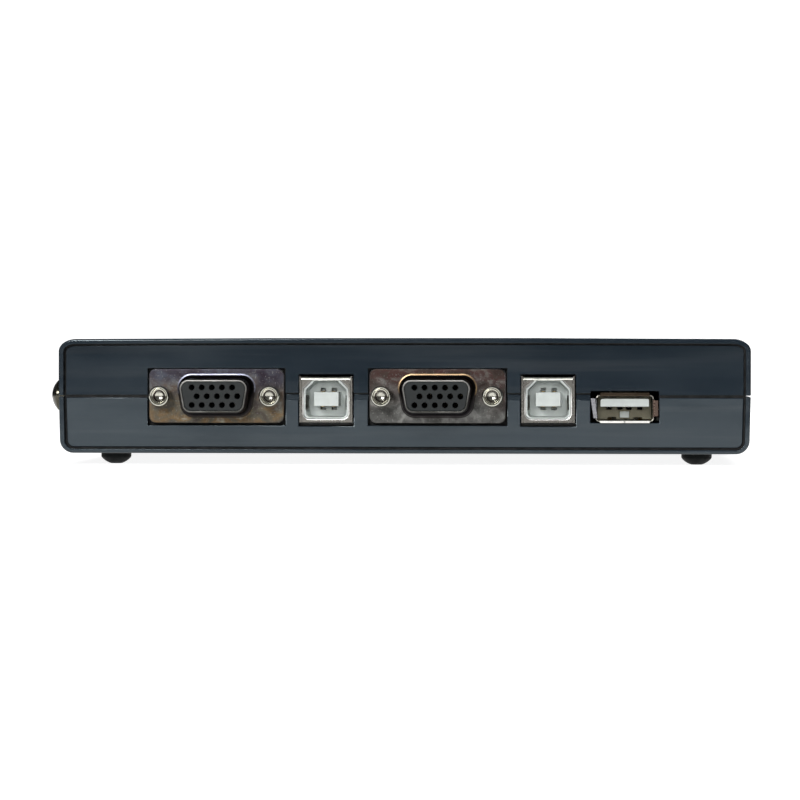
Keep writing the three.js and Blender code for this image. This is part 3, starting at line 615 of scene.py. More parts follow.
# Dark gold for the contact sleeves: painted shade deep in the VGA holes.
SHADED_GOLD = bright_metal("sleeve_gold_painted_shade", (0.06, 0.045, 0.02), 0.4, 0.5, 0.4)
SCREW_METAL = bright_metal("screw_zinc", (0.55, 0.55, 0.54), 0.25, 0.42, 6.1)
SPRING_METAL = bright_metal("spring_wire", (0.60, 0.60, 0.60), 0.2, 0.3, 6.6)
CAN_METAL = bright_metal("can_aluminium", (0.72, 0.73, 0.75), 0.25, 0.4, 7.1)
INSULATOR = plain_plastic("grey_insulator", (0.012, 0.0145, 0.0148), 0.5, 0.8)
shader_input(INSULATOR, "Specular IOR Level").default_value = 0.3
WHITE = white_plastic()
# Beige, kept darker than the white tongue in front of it as painted shade at the back of the sleeve.
BEIGE_SHADED = plain_plastic("beige_plastic_painted_shade", (0.24, 0.225, 0.165), 0.5, 0.8)
# Matt black that stands in for shade: painted shade in the gaps round the VGA flanges and along the panels' groove and
# parting line.
BLACK_SHADE_PLASTIC = plain_plastic("black_painted_shade", (0.004, 0.004, 0.004), 0.7, 0.7)
CHIP = plain_plastic("chip_package", (0.012, 0.012, 0.013), 0.5)
SWITCH_BODY = plain_plastic("switch_body", (0.02, 0.028, 0.07), 0.45)
BOARD = board_laminate()
LED = led_epoxy()


# ---------------------------------------------------------------- case

def upper_path(gap_level, width_inset, top_inset, edge=0.0, steps=10):
    """The lid's line seen from its end, from the right parting edge over the top to the left one."""
    half = HALF_WIDTH - width_inset
    top = CASE_HEIGHT - TOP_CROWN - top_inset
    rx = max(TOP_CORNER[0] - width_inset, 0.5)
    rz = max(TOP_CORNER[1] - top_inset, 0.5)
    right = arc(half - edge, gap_level + edge, edge, edge, -90, 0, 3)
    right += arc(half - rx, top - rz, rx, rz, 0, 90, steps)
    right.append((CROWN_FLAT, top + TOP_CROWN))
    return right + [(-x, z) for x, z in reversed(right)]


def lower_path(gap_level, width_inset, low_inset, edge=0.0, steps=10):
    """The tray's line seen from its end, from the left parting edge round the bottom to the right one."""
    half = HALF_WIDTH - width_inset
    low_half = half - LOWER_DRAFT
    radius = max(LOW_CORNER - max(width_inset, low_inset), 0.5)
    right = arc(half - edge, gap_level - edge, edge, edge, 90, 0, 3)
    right += arc(low_half - radius, low_inset + radius, radius, radius, 0, -90, steps)
    return [(-x, z) for x, z in right] + list(reversed(right))


def rim_stations():
    """Depth, outer inset and inner inset of each section from the rim's face to the inside of the wall."""
    outer_round, inner_round = 0.46, 0.05
    stations = []
    steps = 6
    for i in range(steps + 1):
        angle = math.pi / 2 * i / steps
        depth = outer_round * (1 - math.cos(angle))
        share = min(depth / inner_round, 1)
        inner = inner_round * (1 - math.sqrt(1 - (1 - share) ** 2))
        stations.append((depth, outer_round * (1 - math.sin(angle)), -inner))
    groove_bottom = RECESS + GROOVE_DEPTH
    stations.append((groove_bottom, 0, 0))
    stations.append((groove_bottom + 0.05, 0, WALL - RIM))
    return stations


def shell_body(path, gap_level, low_rim):
    """One half of the case's sleeve: outer skin, inner skin, and a rounded rim at each end."""
    bm = bmesh.new()
    rings = []
    ends = rim_stations()
    near = [(-HALF_DEPTH + depth, a, b) for depth, a, b in ends]
    far = [(HALF_DEPTH - depth, a, b) for depth, a, b in reversed(ends)]
    for y, outer, inner in near + far:
        skin = path(gap_level, outer, outer, 0.16)
        rim = RIM + inner
        lining = path(gap_level, rim, low_rim + inner + (RIM - low_rim if inner > 0.5 else 0), 0.02)
        rings.append([(x + CASE_X, y, z + CASE_BOTTOM) for x, z in skin + list(reversed(lining))])
    loft(bm, rings)
    return bm


def port_spans(side):
    """The openings on one side, as (centre, opening), from left to right in case coordinates."""
    spans = []
    for name, opening in OPENINGS.items():
        low, high = node_box(name)
        if side * (low.y + high.y) > 0:
            spans.append(((low.x + high.x) / 2 - CASE_X, opening))
    return sorted(spans, key=lambda span: span[0])


OPENINGS = {
    "pc1_vga_shell": VGA_OPENING,
    "pc2_vga_shell": VGA_OPENING,
    "console_vga_shell": VGA_OPENING,
    "pc1_usb_shell": USB_B_OPENING,
    "pc2_usb_shell": USB_B_OPENING,
    "shared_usb_shell": USB_A_OPENING,
    "keyboard_usb_shell": USB_A_OPENING,
    "mouse_usb_shell": USB_A_OPENING,
    "pc1_led": LED_OPENING,
    "pc2_led": LED_OPENING,
}
WIDEST_BRIDGE = 8.0


def panel_edge(side, outer_level, bridge_level, reach):
    """The panel's edge along the parting line, left to right, dipping or rising round each opening."""
    spans = port_spans(side)
    points = []
    previous = None
    for centre, opening in spans:
        left, right = centre - opening["half"], centre + opening["half"]
        close = previous is not None and left - previous < WIDEST_BRIDGE
        level = bridge_level if close else outer_level
        if previous is not None:
            points.append((previous, level))
        points.append((left, level))
        points.append((left, opening[reach]))
        points.append((right, opening[reach]))
        previous = right
    points.append((previous, outer_level))
    return points


def panel(side, upper):
    """One half of one recessed end panel, leaning back a little away from the parting line."""
    inner = RIM + GROOVE
    if upper:
        edge = panel_edge(side, UPPER_EDGE, UPPER_BRIDGE, "high")
        outline = edge + upper_path(UPPER_EDGE, inner, inner)
    else:
        edge = panel_edge(side, LOWER_EDGE, LOWER_BRIDGE, "low")
        low_path = lower_path(LOWER_EDGE, inner, RIM_BELOW + GROOVE)
        outline = list(reversed(edge)) + low_path
    bm = bmesh.new()
    plate(bm, without_repeats(outline), RECESS, RECESS + WALL, 0.04 if upper else 0.16)
    for vert in bm.verts:
        vert.co.y += abs(vert.co.z - PARTING) * PANEL_LEAN
        vert.co.z += CASE_BOTTOM
        vert.co.x *= -side
    bm.transform(Matrix.Translation((0, -HALF_DEPTH, 0)))
    if side > 0:
        bm.transform(Matrix.Rotation(math.pi, 4, "Z"))
    bm.transform(Matrix.Translation((CASE_X, 0, 0)))
    return bm


def without_repeats(points):
    """Drops points that fall on the one before."""
    kept = []
    for point in points:
        if not kept or (Vector(point) - Vector(kept[-1])).length > 0.005:
            kept.append(point)
    if (Vector(kept[0]) - Vector(kept[-1])).length < 0.005:
        kept.pop()
    return kept


def join(*parts):
    """One mesh from several."""
    whole = bmesh.new()
    for part in parts:
        mesh = bpy.data.meshes.new("part")
        bmesh.ops.recalc_face_normals(part, faces=part.faces)
        part.to_mesh(mesh)
        part.free()
        whole.from_mesh(mesh)
        bpy.data.meshes.remove(mesh)
    return whole


def lip():
    """The step inside the parting line that the lid's edge closes over, broken at each opening."""
    bm = bmesh.new()
    low = CASE_BOTTOM + PARTING - 2.5
    high = CASE_BOTTOM + LIP_TOP
    outer_x = HALF_WIDTH - 1.2
    inner_x = HALF_WIDTH - WALL
    inner_y = HALF_DEPTH - RECESS - WALL
    for side in (-1, 1):
        previous = -outer_x
        for centre, opening in port_spans(side):
            lip_span(bm, previous, centre - opening["half"], side)
            previous = centre + opening["half"]
        lip_span(bm, previous, outer_x, side)
    button_low, button_high = node_box("select_button_cap")
    gap = 3.9
    middle = (button_low.y + button_high.y) / 2
    for x0, x1, y0, y1 in (
        (inner_x, outer_x, -inner_y, inner_y),
        (-outer_x, -inner_x, -inner_y, middle - gap),
        (-outer_x, -inner_x, middle + gap, inner_y),
    ):
        box(bm, (CASE_X + x0, y0, low), (CASE_X + x1, y1, high), 0.12)
    return bm


def lip_span(bm, x0, x1, side):
    """The lip between two openings; only on a narrow bridge does it reach up into the gap between the panels."""
    top = LIP_TOP if x1 - x0 < WIDEST_BRIDGE else LOWER_EDGE - 0.4
    y0, y1 = sorted((side * (HALF_DEPTH - RECESS - WALL), side * (HALF_DEPTH - RECESS - 1.15)))
    low = (CASE_X + x0, y0, CASE_BOTTOM + PARTING - 2.5)
    box(bm, low, (CASE_X + x1, y1, CASE_BOTTOM + top), 0.12)


def seam_shade_liner(side):
    """Matt strips at the bottom of the panels' groove and behind the parting line, which keep the light out and stand
    in for the shade there.
    """
    frames = []
    for inset_by, depth in ((0.02, 0.7), (GROOVE - 0.02, 0.7), (GROOVE - 0.02, 1.3), (0.02, 1.3)):
        line = upper_path(PARTING + 0.01, RIM + inset_by, RIM + inset_by)
        line += lower_path(PARTING - 0.01, RIM + inset_by, RIM_BELOW + inset_by)
        y = side * (HALF_DEPTH - RECESS - depth)
        frames.append([(CASE_X + x, y, CASE_BOTTOM + z) for x, z in line])
    ring = bmesh.new()
    loft(ring, frames, closed=True)
    strips = bmesh.new()
    end = HALF_WIDTH - RIM - GROOVE
    previous = -end
    for centre, opening in port_spans(side):
        shade_strip(strips, previous, centre - opening["half"], side)
        previous = centre + opening["half"]
    shade_strip(strips, previous, end, side)
    return join(ring, strips)


def shade_strip(bm, x0, x1, side):
    narrow = x1 - x0 < WIDEST_BRIDGE
    low, high, front = (LIP_TOP, UPPER_BRIDGE, 1.2) if narrow else (LOWER_EDGE, UPPER_EDGE, 0.6)
    y0, y1 = sorted((side * (HALF_DEPTH - RECESS - WALL), side * (HALF_DEPTH - RECESS - front)))
    box(bm, (CASE_X + x0, y0, CASE_BOTTOM + low + 0.01), (CASE_X + x1, y1, CASE_BOTTOM + high - 0.01))


def button_cutter():
    """A round bar through the left wall where the button passes."""
    low, high = node_box("select_button_cap")
    bm = bmesh.new()
    radius = 3.75
    lathe(bm, [(0, -3), (radius, -3), (radius, 3), (0, 3)], 48, "X")
    bm.transform(Matrix.Translation((CASE_X - HALF_WIDTH + 1, (low.y + high.y) / 2, (low.z + high.z) / 2)))
    return bm


def make_case():
    upper = shell_body(upper_path, PARTING + 0.15, RIM)
    upper = cut(upper, button_cutter())
    piece(
        "lid",
        join(upper, panel(-1, True), panel(1, True)),
        ABS,
        ["upper_shell"],
    )
    lower = shell_body(lower_path, PARTING - 0.15, RIM_BELOW)
    lower = cut(lower, button_cutter())
    lower = cut(lower, underside_cutter())
    piece(
        "tray",
        join(lower, panel(-1, False), panel(1, False), lip()),
        ABS,
        ["lower_shell"],
    )
    for side, name in ((-1, "pc"), (1, "console")):
        # The liners are matt black: painted shade in the groove and the parting gap.
        piece("seam_shade_liner_" + name, seam_shade_liner(side), BLACK_SHADE_PLASTIC)


def underside_cutter():
    """Pockets for the feet and the holes that the case screws sit in."""
    bm = bmesh.new()
    for place in PLACES:
        foot_low, foot_high = node_box("foot_" + place)
        x, y = (foot_low.x + foot_high.x) / 2, (foot_low.y + foot_high.y) / 2
        pocket = bmesh.new()
        top = foot_high.z + 0.1
        lathe(pocket, [(0, -1), (3.75, -1), (3.75, top), (0, top)], 48, "Z")
        pocket.transform(Matrix.Translation((x, y, 0)))
        screw_low, screw_high = node_box("case_screw_" + place)
        hole = bmesh.new()
        mouth = CASE_BOTTOM
        lathe(hole, [(0, -1), (3.3, -1), (3.3, mouth), (3.0, mouth + 0.3), (3.0, mouth + 4), (0, mouth + 4)], 48, "Z")
        hole.transform(Matrix.Translation(((screw_low.x + screw_high.x) / 2, (screw_low.y + screw_high.y) / 2, 0)))
        bm = join(bm, pocket, hole)
    return bm


PLACES = ["pc_left", "pc_right", "console_left", "console_right"]


# ---------------------------------------------------------------- feet and screws

def make_foot(place):
    """A rubber bumper: a short straight side under a wide round cap with a small flat tip."""
    low, high = node_box("foot_" + place)
    radius = (high.x - low.x) / 2
    tip, cap = 1.25, 1.5
    centre = (radius**2 - tip**2 + cap**2) / (2 * cap)
    sweep = math.hypot(tip, centre)
    start = math.atan2(tip, centre)
    end = math.atan2(radius, centre - cap)
    profile = [(0, high.z), (radius - 0.1, high.z), (radius, high.z - 0.1), (radius, cap + 0.15)]
    steps = 16
    for i in range(steps + 1):
        angle = end + (start - end) * i / steps
        edge = 0.06 if i == 0 else 0
        profile.append((sweep * math.sin(angle) - edge, centre - sweep * math.cos(angle)))
    profile.append((0, 0))
    bm = bmesh.new()
    lathe(bm, profile, 64, "Z")
    matrix = Matrix.Translation(((low.x + high.x) / 2, (low.y + high.y) / 2, 0))
    piece("foot_rubber_" + place, bm, RUBBER, ["foot_" + place], matrix=matrix)


def recess_arm(width, length, depth, turn):
    """A cutter for one arm of a screw's cross recess, narrower at its bottom."""
    arm = bmesh.new()
    made = bmesh.ops.create_cube(arm, size=1)["verts"]
    for vert in made:
        low = vert.co.z < 0
        vert.co.x *= length * (0.45 if low else 1)
        vert.co.y *= width * (0.6 if low else 1)
        vert.co.z = -depth if low else 0.5
    arm.transform(Matrix.Rotation(turn, 4, "Z"))
    return arm


def make_screw(node_name, head_down):
    """A pan-head screw with a cross recess and turned thread ridges."""
    low, high = node_box(node_name)
    radius = (high.x - low.x) / 2
    length = high.z - low.z
    head = 2.0 if head_down else 1.6
    shank = 1.4 if head_down else 1.1
    profile = [(0, 0)]
    for i in range(1, 9):
        angle = math.pi / 2 * i / 8
        profile.append((radius * math.sin(angle) * 0.999, -head * 0.45 * (1 - math.cos(angle))))
    profile += [(radius, -head * 0.5), (radius, -head + 0.1), (radius - 0.1, -head)]
    along = -head
    pitch = 0.7
    while along - pitch > -length + 1.5:
        profile += [(shank * 0.78, along), (shank, along - pitch * 0.4)]
        along -= pitch
    profile += [(shank * 0.78, along), (shank * 0.5, -length + 0.4), (0, -length)]
    bm = bmesh.new()
    lathe(bm, profile, 40, "Z")
    for turn in (0, math.pi / 2):
        bm = cut(bm, recess_arm(0.7, radius * 1.1, 1.1, turn))
    top = low.z if head_down else high.z
    matrix = Matrix.Translation(((low.x + high.x) / 2, (low.y + high.y) / 2, top))
    if head_down:
        matrix = matrix @ Matrix.Rotation(math.pi, 4, "X")
    piece(node_name + "_turned", bm, SCREW_METAL, [node_name], matrix=matrix)


# ---------------------------------------------------------------- port placing

def port_matrix(node_name, proud, level=None):
    """Stands a port's local origin on its own centre, proud of which the node's box reaches outwards."""
    low, high = node_box(node_name)
    outside = low.y if low.y + high.y < 0 else high.y
    plane = outside - math.copysign(proud, outside)
    z = (low.z + high.z) / 2 if level is None else level
    turn = 0 if outside < 0 else math.pi
    return Matrix.Translation(((low.x + high.x) / 2, plane, z)) @ Matrix.Rotation(turn, 4, "Z")


# ---------------------------------------------------------------- VGA port



def d_outline(steps=9):
    x, z = D_WIDTH / 2, D_HEIGHT / 2
    low = x - D_HEIGHT * D_LEAN
    return rounded([(-low, -z), (low, -z), (x, z), (-x, z)], [D_CORNER] * 4, steps)


def vga_front():
    """The flange and the D tube drawn out of it, one sheet of metal."""
    steps = 9
    d = d_outline(steps)
    flange = rectangle(FLANGE_HALF_WIDTH, FLANGE_HALF_HEIGHT, 1.6, steps)
    rings = [at_depth(flange, FLANGE_THICK)]
    edge = 0.22
    for i in range(5):
        angle = math.pi / 2 * (1 - i / 4)
        rings.append(at_depth(inset(flange, edge * (1 - math.sin(angle))), edge * (1 - math.cos(angle))))
    for i in range(11):
        angle = math.pi / 2 * i / 10
        rings.append(at_depth(inset(d, -D_BEND * (1 - math.sin(angle))), -D_BEND * (1 - math.cos(angle))))
    outer_round, inner_round = 0.44, 0.10
    for i in range(7):
        angle = math.pi / 2 * i / 6
        front = -D_LENGTH + outer_round * (1 - math.sin(angle))
        rings.append(at_depth(inset(d, outer_round * (1 - math.cos(angle))), front))
    for i in range(1, 5):
        angle = math.pi / 2 * i / 4
        front = -D_LENGTH + inner_round * (1 - math.cos(angle))
        rings.append(at_depth(inset(d, D_WALL - inner_round * (1 - math.sin(angle))), front))
    rings.append(at_depth(inset(d, D_WALL), FLANGE_THICK))
    bm = bmesh.new()
    loft(bm, rings, closed=True)
    return bm


def contact_places():
    """Centres of the fifteen contacts, as (x, z)."""
    pitch, rows = 2.29, CONTACT_ROWS
    places = []
    for row in (-1, 0, 1):
        for column in range(5):
            shift = pitch / 4 if row == 0 else -pitch / 4
            places.append(((column - 2) * pitch + shift + CONTACT_SHIFT, row * rows))
    return places


def vga_insulator():
    """A dark nose in the D tube with fifteen countersunk holes, and the block behind it."""
    d = inset(d_outline(), D_WALL + 0.03)
    front = -D_LENGTH + 0.12
    block = [(x * 1.25, z * 1.5) for x, z in d]
    edge = 0.14
    rings = []
    for i in range(4):
        angle = math.pi / 2 * i / 3
        rings.append(at_depth(inset(d, edge * (1 - math.sin(angle))), front + edge * (1 - math.cos(angle))))
    rings += [at_depth(d, 4.9), at_depth(block, 5.0), at_depth(block, 10.9)]
    bm = bmesh.new()
    loft(bm, rings)
    holes = []
    for x, z in contact_places():
        hole = bmesh.new()
        mouth = [(0, front - 0.5), (0.72, front - 0.5), (0.72, front - 0.01), (0.64, front + 0.08)]
        lathe(hole, mouth + [(0.64, 4), (0, 4)], 20)
        hole.transform(Matrix.Translation((x, 0, z)))
        holes.append(hole)
    return cut(bm, join(*holes))


def vga_bracket():
    """The frame behind the flange that holds the nuts' shanks, with a skirt inside the panel's opening."""
    outline = rectangle(15.2, 5.95, 0.5, 9)
    skirt = inset(outline, -0.9)
    hole = inset(d_outline(), D_WALL + 0.02)
    rings = [at_depth(hole, 4.85), at_depth(hole, 0.85), at_depth(outline, 0.85), at_depth(outline, 2.3)]
    rings += [at_depth(skirt, 2.35), at_depth(skirt, 3.3), at_depth(outline, 3.35), at_depth(outline, 4.85)]
    bm = bmesh.new()
    loft(bm, rings, closed=True)
    return bm


def vga_contacts():
    """The gilt sleeves just inside the holes."""
    sleeves = []
    for x, z in contact_places():
        sleeve = bmesh.new()
        outer, inner = 0.56, 0.40
        start, end = 3.0, 3.95
        lathe(sleeve, [(0, end), (outer, end), (outer, start), (inner, start), (inner, end - 0.3), (0, end - 0.3)], 16)
        sleeve.transform(Matrix.Translation((x, 0, z)))
        sleeves.append(sleeve)
    return join(*sleeves)


def solder_tails(places, length, drop, half=0.22):
    """Bent tails from a connector's back down to the board: (x, y) places, bottom level drop."""
    bm = bmesh.new()
    for x, y, z in places:
        box(bm, (x - half, y - length, z - half), (x + half, y + half, z + half), 0.05, 1)
        box(bm, (x - half, y - half, drop), (x + half, y + half, z + half), 0.05, 1)
    return bm


def jack_nut():
    """The round nut: a rounded face with a turned ring, a wide bore, and a shank behind the flange."""
    front = -4.9
    bowl = [(0, front + 2.9), (0.3, front + 2.88), (0.6, front + 2.82), (0.9, front + 2.72), (1.3, front + 2.5)]
    ring = [
        (1.34, front + 0.50),
        (1.48, front + 0.34),
        (1.60, front + 0.28),
        (1.68, front + 0.36),
        (1.76, front + 0.20),
        (1.86, front + 0.05),
        (1.98, front),
        (2.10, front + 0.04),
        (2.22, front + 0.16),
        (2.32, front + 0.36),
        (2.38, front + 0.66),
    ]
    shank = [(2.38, -0.25), (2.30, 0.0), (1.4, 0.0), (1.4, 4.5), (0, 4.5)]
    bm = bmesh.new()
    lathe(bm, bowl + ring + shank, 64)
    return bm


def nut_thread():
    """The ridges of the thread inside the bore."""
    front, outer, crest = -4.9, 1.345, 1.16
    profile = [(outer, front + 2.4), (outer, front + 0.56)]
    ridge = front + 0.56
    while ridge < front + 2.2:
        profile += [(outer - 0.05, ridge + 0.02), (crest, ridge + 0.2)]
        ridge += 0.4
    profile.append((outer, front + 2.4))
    bm = bmesh.new()
    lathe(bm, profile, 48)
    bmesh.ops.remove_doubles(bm, verts=bm.verts, dist=0.001)
    return bm


def make_vga(name):
    matrix = port_matrix(name + "_shell", D_LENGTH)
    metal = FLANGE_METALS[name]
    piece(name + "_front", vga_front(), metal, [name + "_shell"], matrix=matrix)
    piece(
        name + "_nose", vga_insulator(), INSULATOR, [name + "_insulator"], matrix=matrix
    )
    # The bracket's skirt is matt black as painted shade in the gap round the flange.
    piece(name + "_bracket", vga_bracket(), BLACK_SHADE_PLASTIC, matrix=matrix)
    piece(name + "_contacts", vga_contacts(), SHADED_GOLD, matrix=matrix)
    tails = [(x * 0.9, 11.6 + 1.2 * (1 + row), -3.6 + row * 0.8) for x, row in tail_places()]
    piece(
        name + "_tails", solder_tails(tails, 3.5, -6.0), SCREW_METAL, matrix=matrix
    )
    for side, place in ((-1, "left"), (1, "right")):
        nut_matrix = matrix @ Matrix.Translation((side * NUT_X, 0, 0))
        node_name = name + "_nut_" + place
        piece(name + "_jack_nut_" + place, jack_nut(), NUT_METAL, [node_name], matrix=nut_matrix)
        piece(name + "_thread_" + place, nut_thread(), THREAD_SHADE_METAL, matrix=nut_matrix)


def tail_places():
    return [(x, round(z / CONTACT_ROWS)) for x, z in contact_places()]


# ---------------------------------------------------------------- square USB port

B_HALF_WIDTH, B_HALF_HEIGHT, B_DEPTH, B_SHEET = 6.0, 5.25, 16.0, 0.38
B_MOUTH_HALF_WIDTH, B_MOUTH_HALF_HEIGHT = 4.95, 4.3
B_ROOF = 5.03
B_ROLL = 0.36


def b_mouth(half_width, half_height, chamfer, low_corner, small=0.25, steps=5):
    """Square with two slanting upper corners; six corners in all."""
    x, z = half_width, half_height
    corners = [(-x, -z), (x, -z), (x, z - chamfer), (x - chamfer, z), (-x + chamfer, z), (-x, z - chamfer)]
    return rounded(corners, [low_corner, low_corner, small, small, small, small], steps)


def usb_b_front():
    """The front plate round the mouth."""
    x = B_HALF_WIDTH - B_SHEET
    low, high = -B_HALF_HEIGHT, B_MOUTH_HALF_HEIGHT + 0.16
    plain = b_mouth(x - 0.03, 1, 0.1, 0.1, 0.04)
    outline = [(px, low + (high - low) * (pz + 1) / 2) for px, pz in plain]
    edge = 0.05
    hole = [(px, min(pz, high - 0.06)) for px, pz in inset(b_big_mouth(), -B_ROLL + 0.02)]
    rings = [at_depth(outline, B_SHEET), at_depth(outline, edge), at_depth(inset(outline, edge), 0)]
    rings += [at_depth(hole, 0), at_depth(hole, B_SHEET)]
    bm = bmesh.new()
    loft(bm, rings, closed=True)
    return bm


def b_big_mouth():
    return b_mouth(B_MOUTH_HALF_WIDTH, B_MOUTH_HALF_HEIGHT, 1.9, 1.15)


def usb_b_roll():
    """The plate's edge, which rolls inwards round the mouth."""
    mouth = b_big_mouth()
    high = B_MOUTH_HALF_HEIGHT + 0.1
    rings = []
    for i in range(7):
        angle = math.pi / 2 * i / 6
        ring = [(px, min(pz, high)) for px, pz in inset(mouth, -B_ROLL * (1 - math.sin(angle)))]
        rings.append(at_depth(ring, B_ROLL * (1 - math.cos(angle)) - 0.01))
    rings.append(at_depth(mouth, B_SHEET + 0.7))
    rings.append(at_depth(inset(mouth, -0.12), B_SHEET + 0.7))
    rings.append(at_depth(inset(mouth, -0.12), B_SHEET + 0.02))
    back = [(px, min(pz, high)) for px, pz in inset(mouth, -B_ROLL)]
    rings.append(at_depth(back, B_SHEET + 0.02))
    bm = bmesh.new()
    loft(bm, rings, closed=True)
    return bm


def usb_b_brow():
    """The bend from the front plate into the roof, a broad band that sags a little in its middle."""
    bm = bmesh.new()
    low = B_MOUTH_HALF_HEIGHT + 0.1
    rings = []
    steps = 16
    for i in range(steps + 1):
        share = 2 * i / steps - 1
        x = share * (B_HALF_WIDTH - B_SHEET - 0.04)
        sag = 0.09 * (1 - share**2)
        outer = [(0.0, low - sag), (0.03, low + 0.2 - sag), (0.09, low + 0.4 - sag * 0.6), (0.2, B_ROOF - 0.1 - sag * 0.4)]
        outer += [(0.34, B_ROOF - sag * 0.3), (0.7, B_ROOF)]
        inner = [(0.7, B_ROOF - B_SHEET), (0.5, B_ROOF - B_SHEET), (0.42, low - sag)]
        rings.append([(x, y, z) for y, z in outer + inner])
    loft(bm, rings)
    return bm


def usb_b_shell():
    """Folded sheet: a front plate bent down from the roof, two straight cheeks that end in sharp horns, a floor."""
    x, z = B_HALF_WIDTH - B_SHEET, B_HALF_HEIGHT
    walls = bmesh.new()
    box(walls, (-x, 0.65, B_ROOF - B_SHEET), (x, B_DEPTH, B_ROOF), 0.04)
    box(walls, (-x, 0.3, -z), (x, B_DEPTH, -z + B_SHEET), 0.08)
    box(walls, (-x, B_DEPTH - B_SHEET, -z), (x, B_DEPTH, B_ROOF), 0.08)
    for side in (-1, 1):
        x0, x1 = sorted((side * (x - 0.02), side * B_HALF_WIDTH))
        box(walls, (x0, 0.0, -z), (x1, B_DEPTH, z), 0.06)
    return join(usb_b_front(), walls)


def usb_b_springs():
    """The leaf spring in each side of the mouth, bowed inwards."""
    bm = bmesh.new()
    for side in (-1, 1):
        rings = []
        for i in range(9):
            share = i / 8
            bow = 0.55 * math.sin(math.pi * share)
            x = side * (4.72 - bow)
            y = 0.9 + 6.0 * share
            rings.append([(x, y, -2.4), (x, y, 0.9), (x + side * 0.2, y, 0.9), (x + side * 0.2, y, -2.4)])
        loft(bm, rings)
    return bm


def usb_b_body():
    """The white block: the plug's space with its slanting corners, the side windows, the contact slots."""
    body = bmesh.new()
    box(body, (-5.5, 0.5, -4.75), (5.5, 15.0, 4.75), 0.1)
    space = bmesh.new()
    outline = b_mouth(4.35, 3.9, 1.9, 0.9, 0.2)
    wide = inset(outline, -0.34)
    loft(space, [at_depth(wide, 0.2), at_depth(wide, 1.1), at_depth(inset(outline, -0.22), 1.25), at_depth(outline, 7.6)])
    body = cut(body, space)
    cutters = bmesh.new()
    for side in (-1, 1):
        x0, x1 = sorted((side * 4.0, side * 6.0))
        box(cutters, (x0, 0.8, -2.5), (x1, 7.0, 0.9))
    for x in (-1.25, 1.25):
        for z0, z1 in ((1.62, 2.5), (-2.5, -1.62)):
            box(cutters, (x - 0.62, 7.2, z0), (x + 0.62, 12, z1))
    return cut(body, cutters)


def usb_b_tongue():
    bm = bmesh.new()
    box(bm, (-2.8, 0.95, -1.59), (2.8, 7.8, 1.59), 0.14, 3)
    return bm


def usb_b_contacts():
    """Two gilt blades above the tongue and two below it."""
    bm = bmesh.new()
    for x in (-1.25, 1.25):
        for z in (1.70, -1.70):
            box(bm, (x - 0.4, 6.4, z - 0.1), (x + 0.4, 11.5, z + 0.1), 0.04, 1)
    return bm


def make_usb_b(name):
    matrix = port_matrix(name + "_shell", 0)
    piece(name + "_case", usb_b_shell(), USB_METAL, [name + "_shell"], matrix=matrix)
    piece(name + "_roll", usb_b_roll(), ROLL_METAL, matrix=matrix)
    piece(name + "_brow", usb_b_brow(), BROW_HIGHLIGHT_METAL, matrix=matrix)
    piece(name + "_leaf_springs", usb_b_springs(), USB_METAL, matrix=matrix)
    body = join(usb_b_body(), usb_b_tongue())
    piece(name + "_body", body, WHITE, [name + "_insulator"], matrix=matrix)
    piece(name + "_contacts", usb_b_contacts(), GOLD, matrix=matrix)


# ---------------------------------------------------------------- flat USB port

A_HALF_WIDTH, A_HALF_HEIGHT, A_DEPTH, A_SHEET = 6.55, 3.05, 14.0, 0.32
CONTACTS_A = (-3.5, -1.0, 1.0, 3.5)


def usb_a_sleeve():
    """The folded sleeve behind its four flared lips."""
    outer = rectangle(A_HALF_WIDTH, A_HALF_HEIGHT, 0.85)
    inner = inset(outer, A_SHEET)
    round_edge = A_SHEET / 2
    rings = [at_depth(outer, A_DEPTH)]
    for i in range(7):
        angle = math.pi * i / 6
        depth = 0.4 + round_edge * (1 - math.sin(angle))
        rings.append(at_depth(inset(outer, round_edge * (1 - math.cos(angle))), depth))
    rings.append(at_depth(inner, A_DEPTH))
    bm = bmesh.new()
    loft(bm, rings, closed=True)
    return bm


def flared_lip(base, tip, half_width, tip_half_width, radius=0.5, lean=0.0, twist=0.0):
    """A strip that leaves the sleeve at base from its middle and bends outwards up to tip, drawn on the +Z side."""
    path = [(0.95, base)]
    steps = 8
    for i in range(steps + 1):
        angle = math.pi / 2 * i / steps
        path.append((radius * (1 - math.sin(angle)), base + radius * (1 - math.cos(angle))))
    path.append((lean, tip))
    rings = []
    for index, (y, z) in enumerate(path):
        share = index / (len(path) - 1)
        half = half_width + (tip_half_width - half_width) * share
        before, after = path[max(index - 1, 0)], path[min(index + 1, len(path) - 1)]
        along = Vector((after[0] - before[0], after[1] - before[1])).normalized()
        back_y, back_z = y + along.y * A_SHEET * 0.9, z - along.x * A_SHEET * 0.9
        slope = twist * share
        rings.append(
            [(-half, y, z - slope), (half, y, z + slope), (half, back_y, back_z + slope), (-half, back_y, back_z - slope)]
        )
    bm = bmesh.new()
    loft(bm, rings)
    edges = [edge for edge in bm.edges if edge.calc_face_angle(0) > math.radians(60)]
    bmesh.ops.bevel(bm, geom=edges, offset=0.06, segments=2, profile=0.5, affect="EDGES", clamp_overlap=True)
    return bm


def turned(bm, degrees):
    bm.transform(Matrix.Rotation(math.radians(degrees), 4, "Y"))
    return bm


def usb_a_roof_lip():
    return flared_lip(A_HALF_HEIGHT - A_SHEET, 3.52, 5.6, 5.5, radius=0.12, lean=0.08)


def usb_a_floor_lips():
    """The floor's lip is two halves with a slit between them, where the sheet's ends meet."""
    halves = []
    for side in (-1, 1):
        half_lip = flared_lip(A_HALF_HEIGHT - A_SHEET, 3.3, 2.76, 2.72, radius=0.14, lean=0.12)
        half_lip.transform(Matrix.Translation((side * 2.82, 0, 0)))
        halves.append(turned(half_lip, 180))
    return join(*halves)


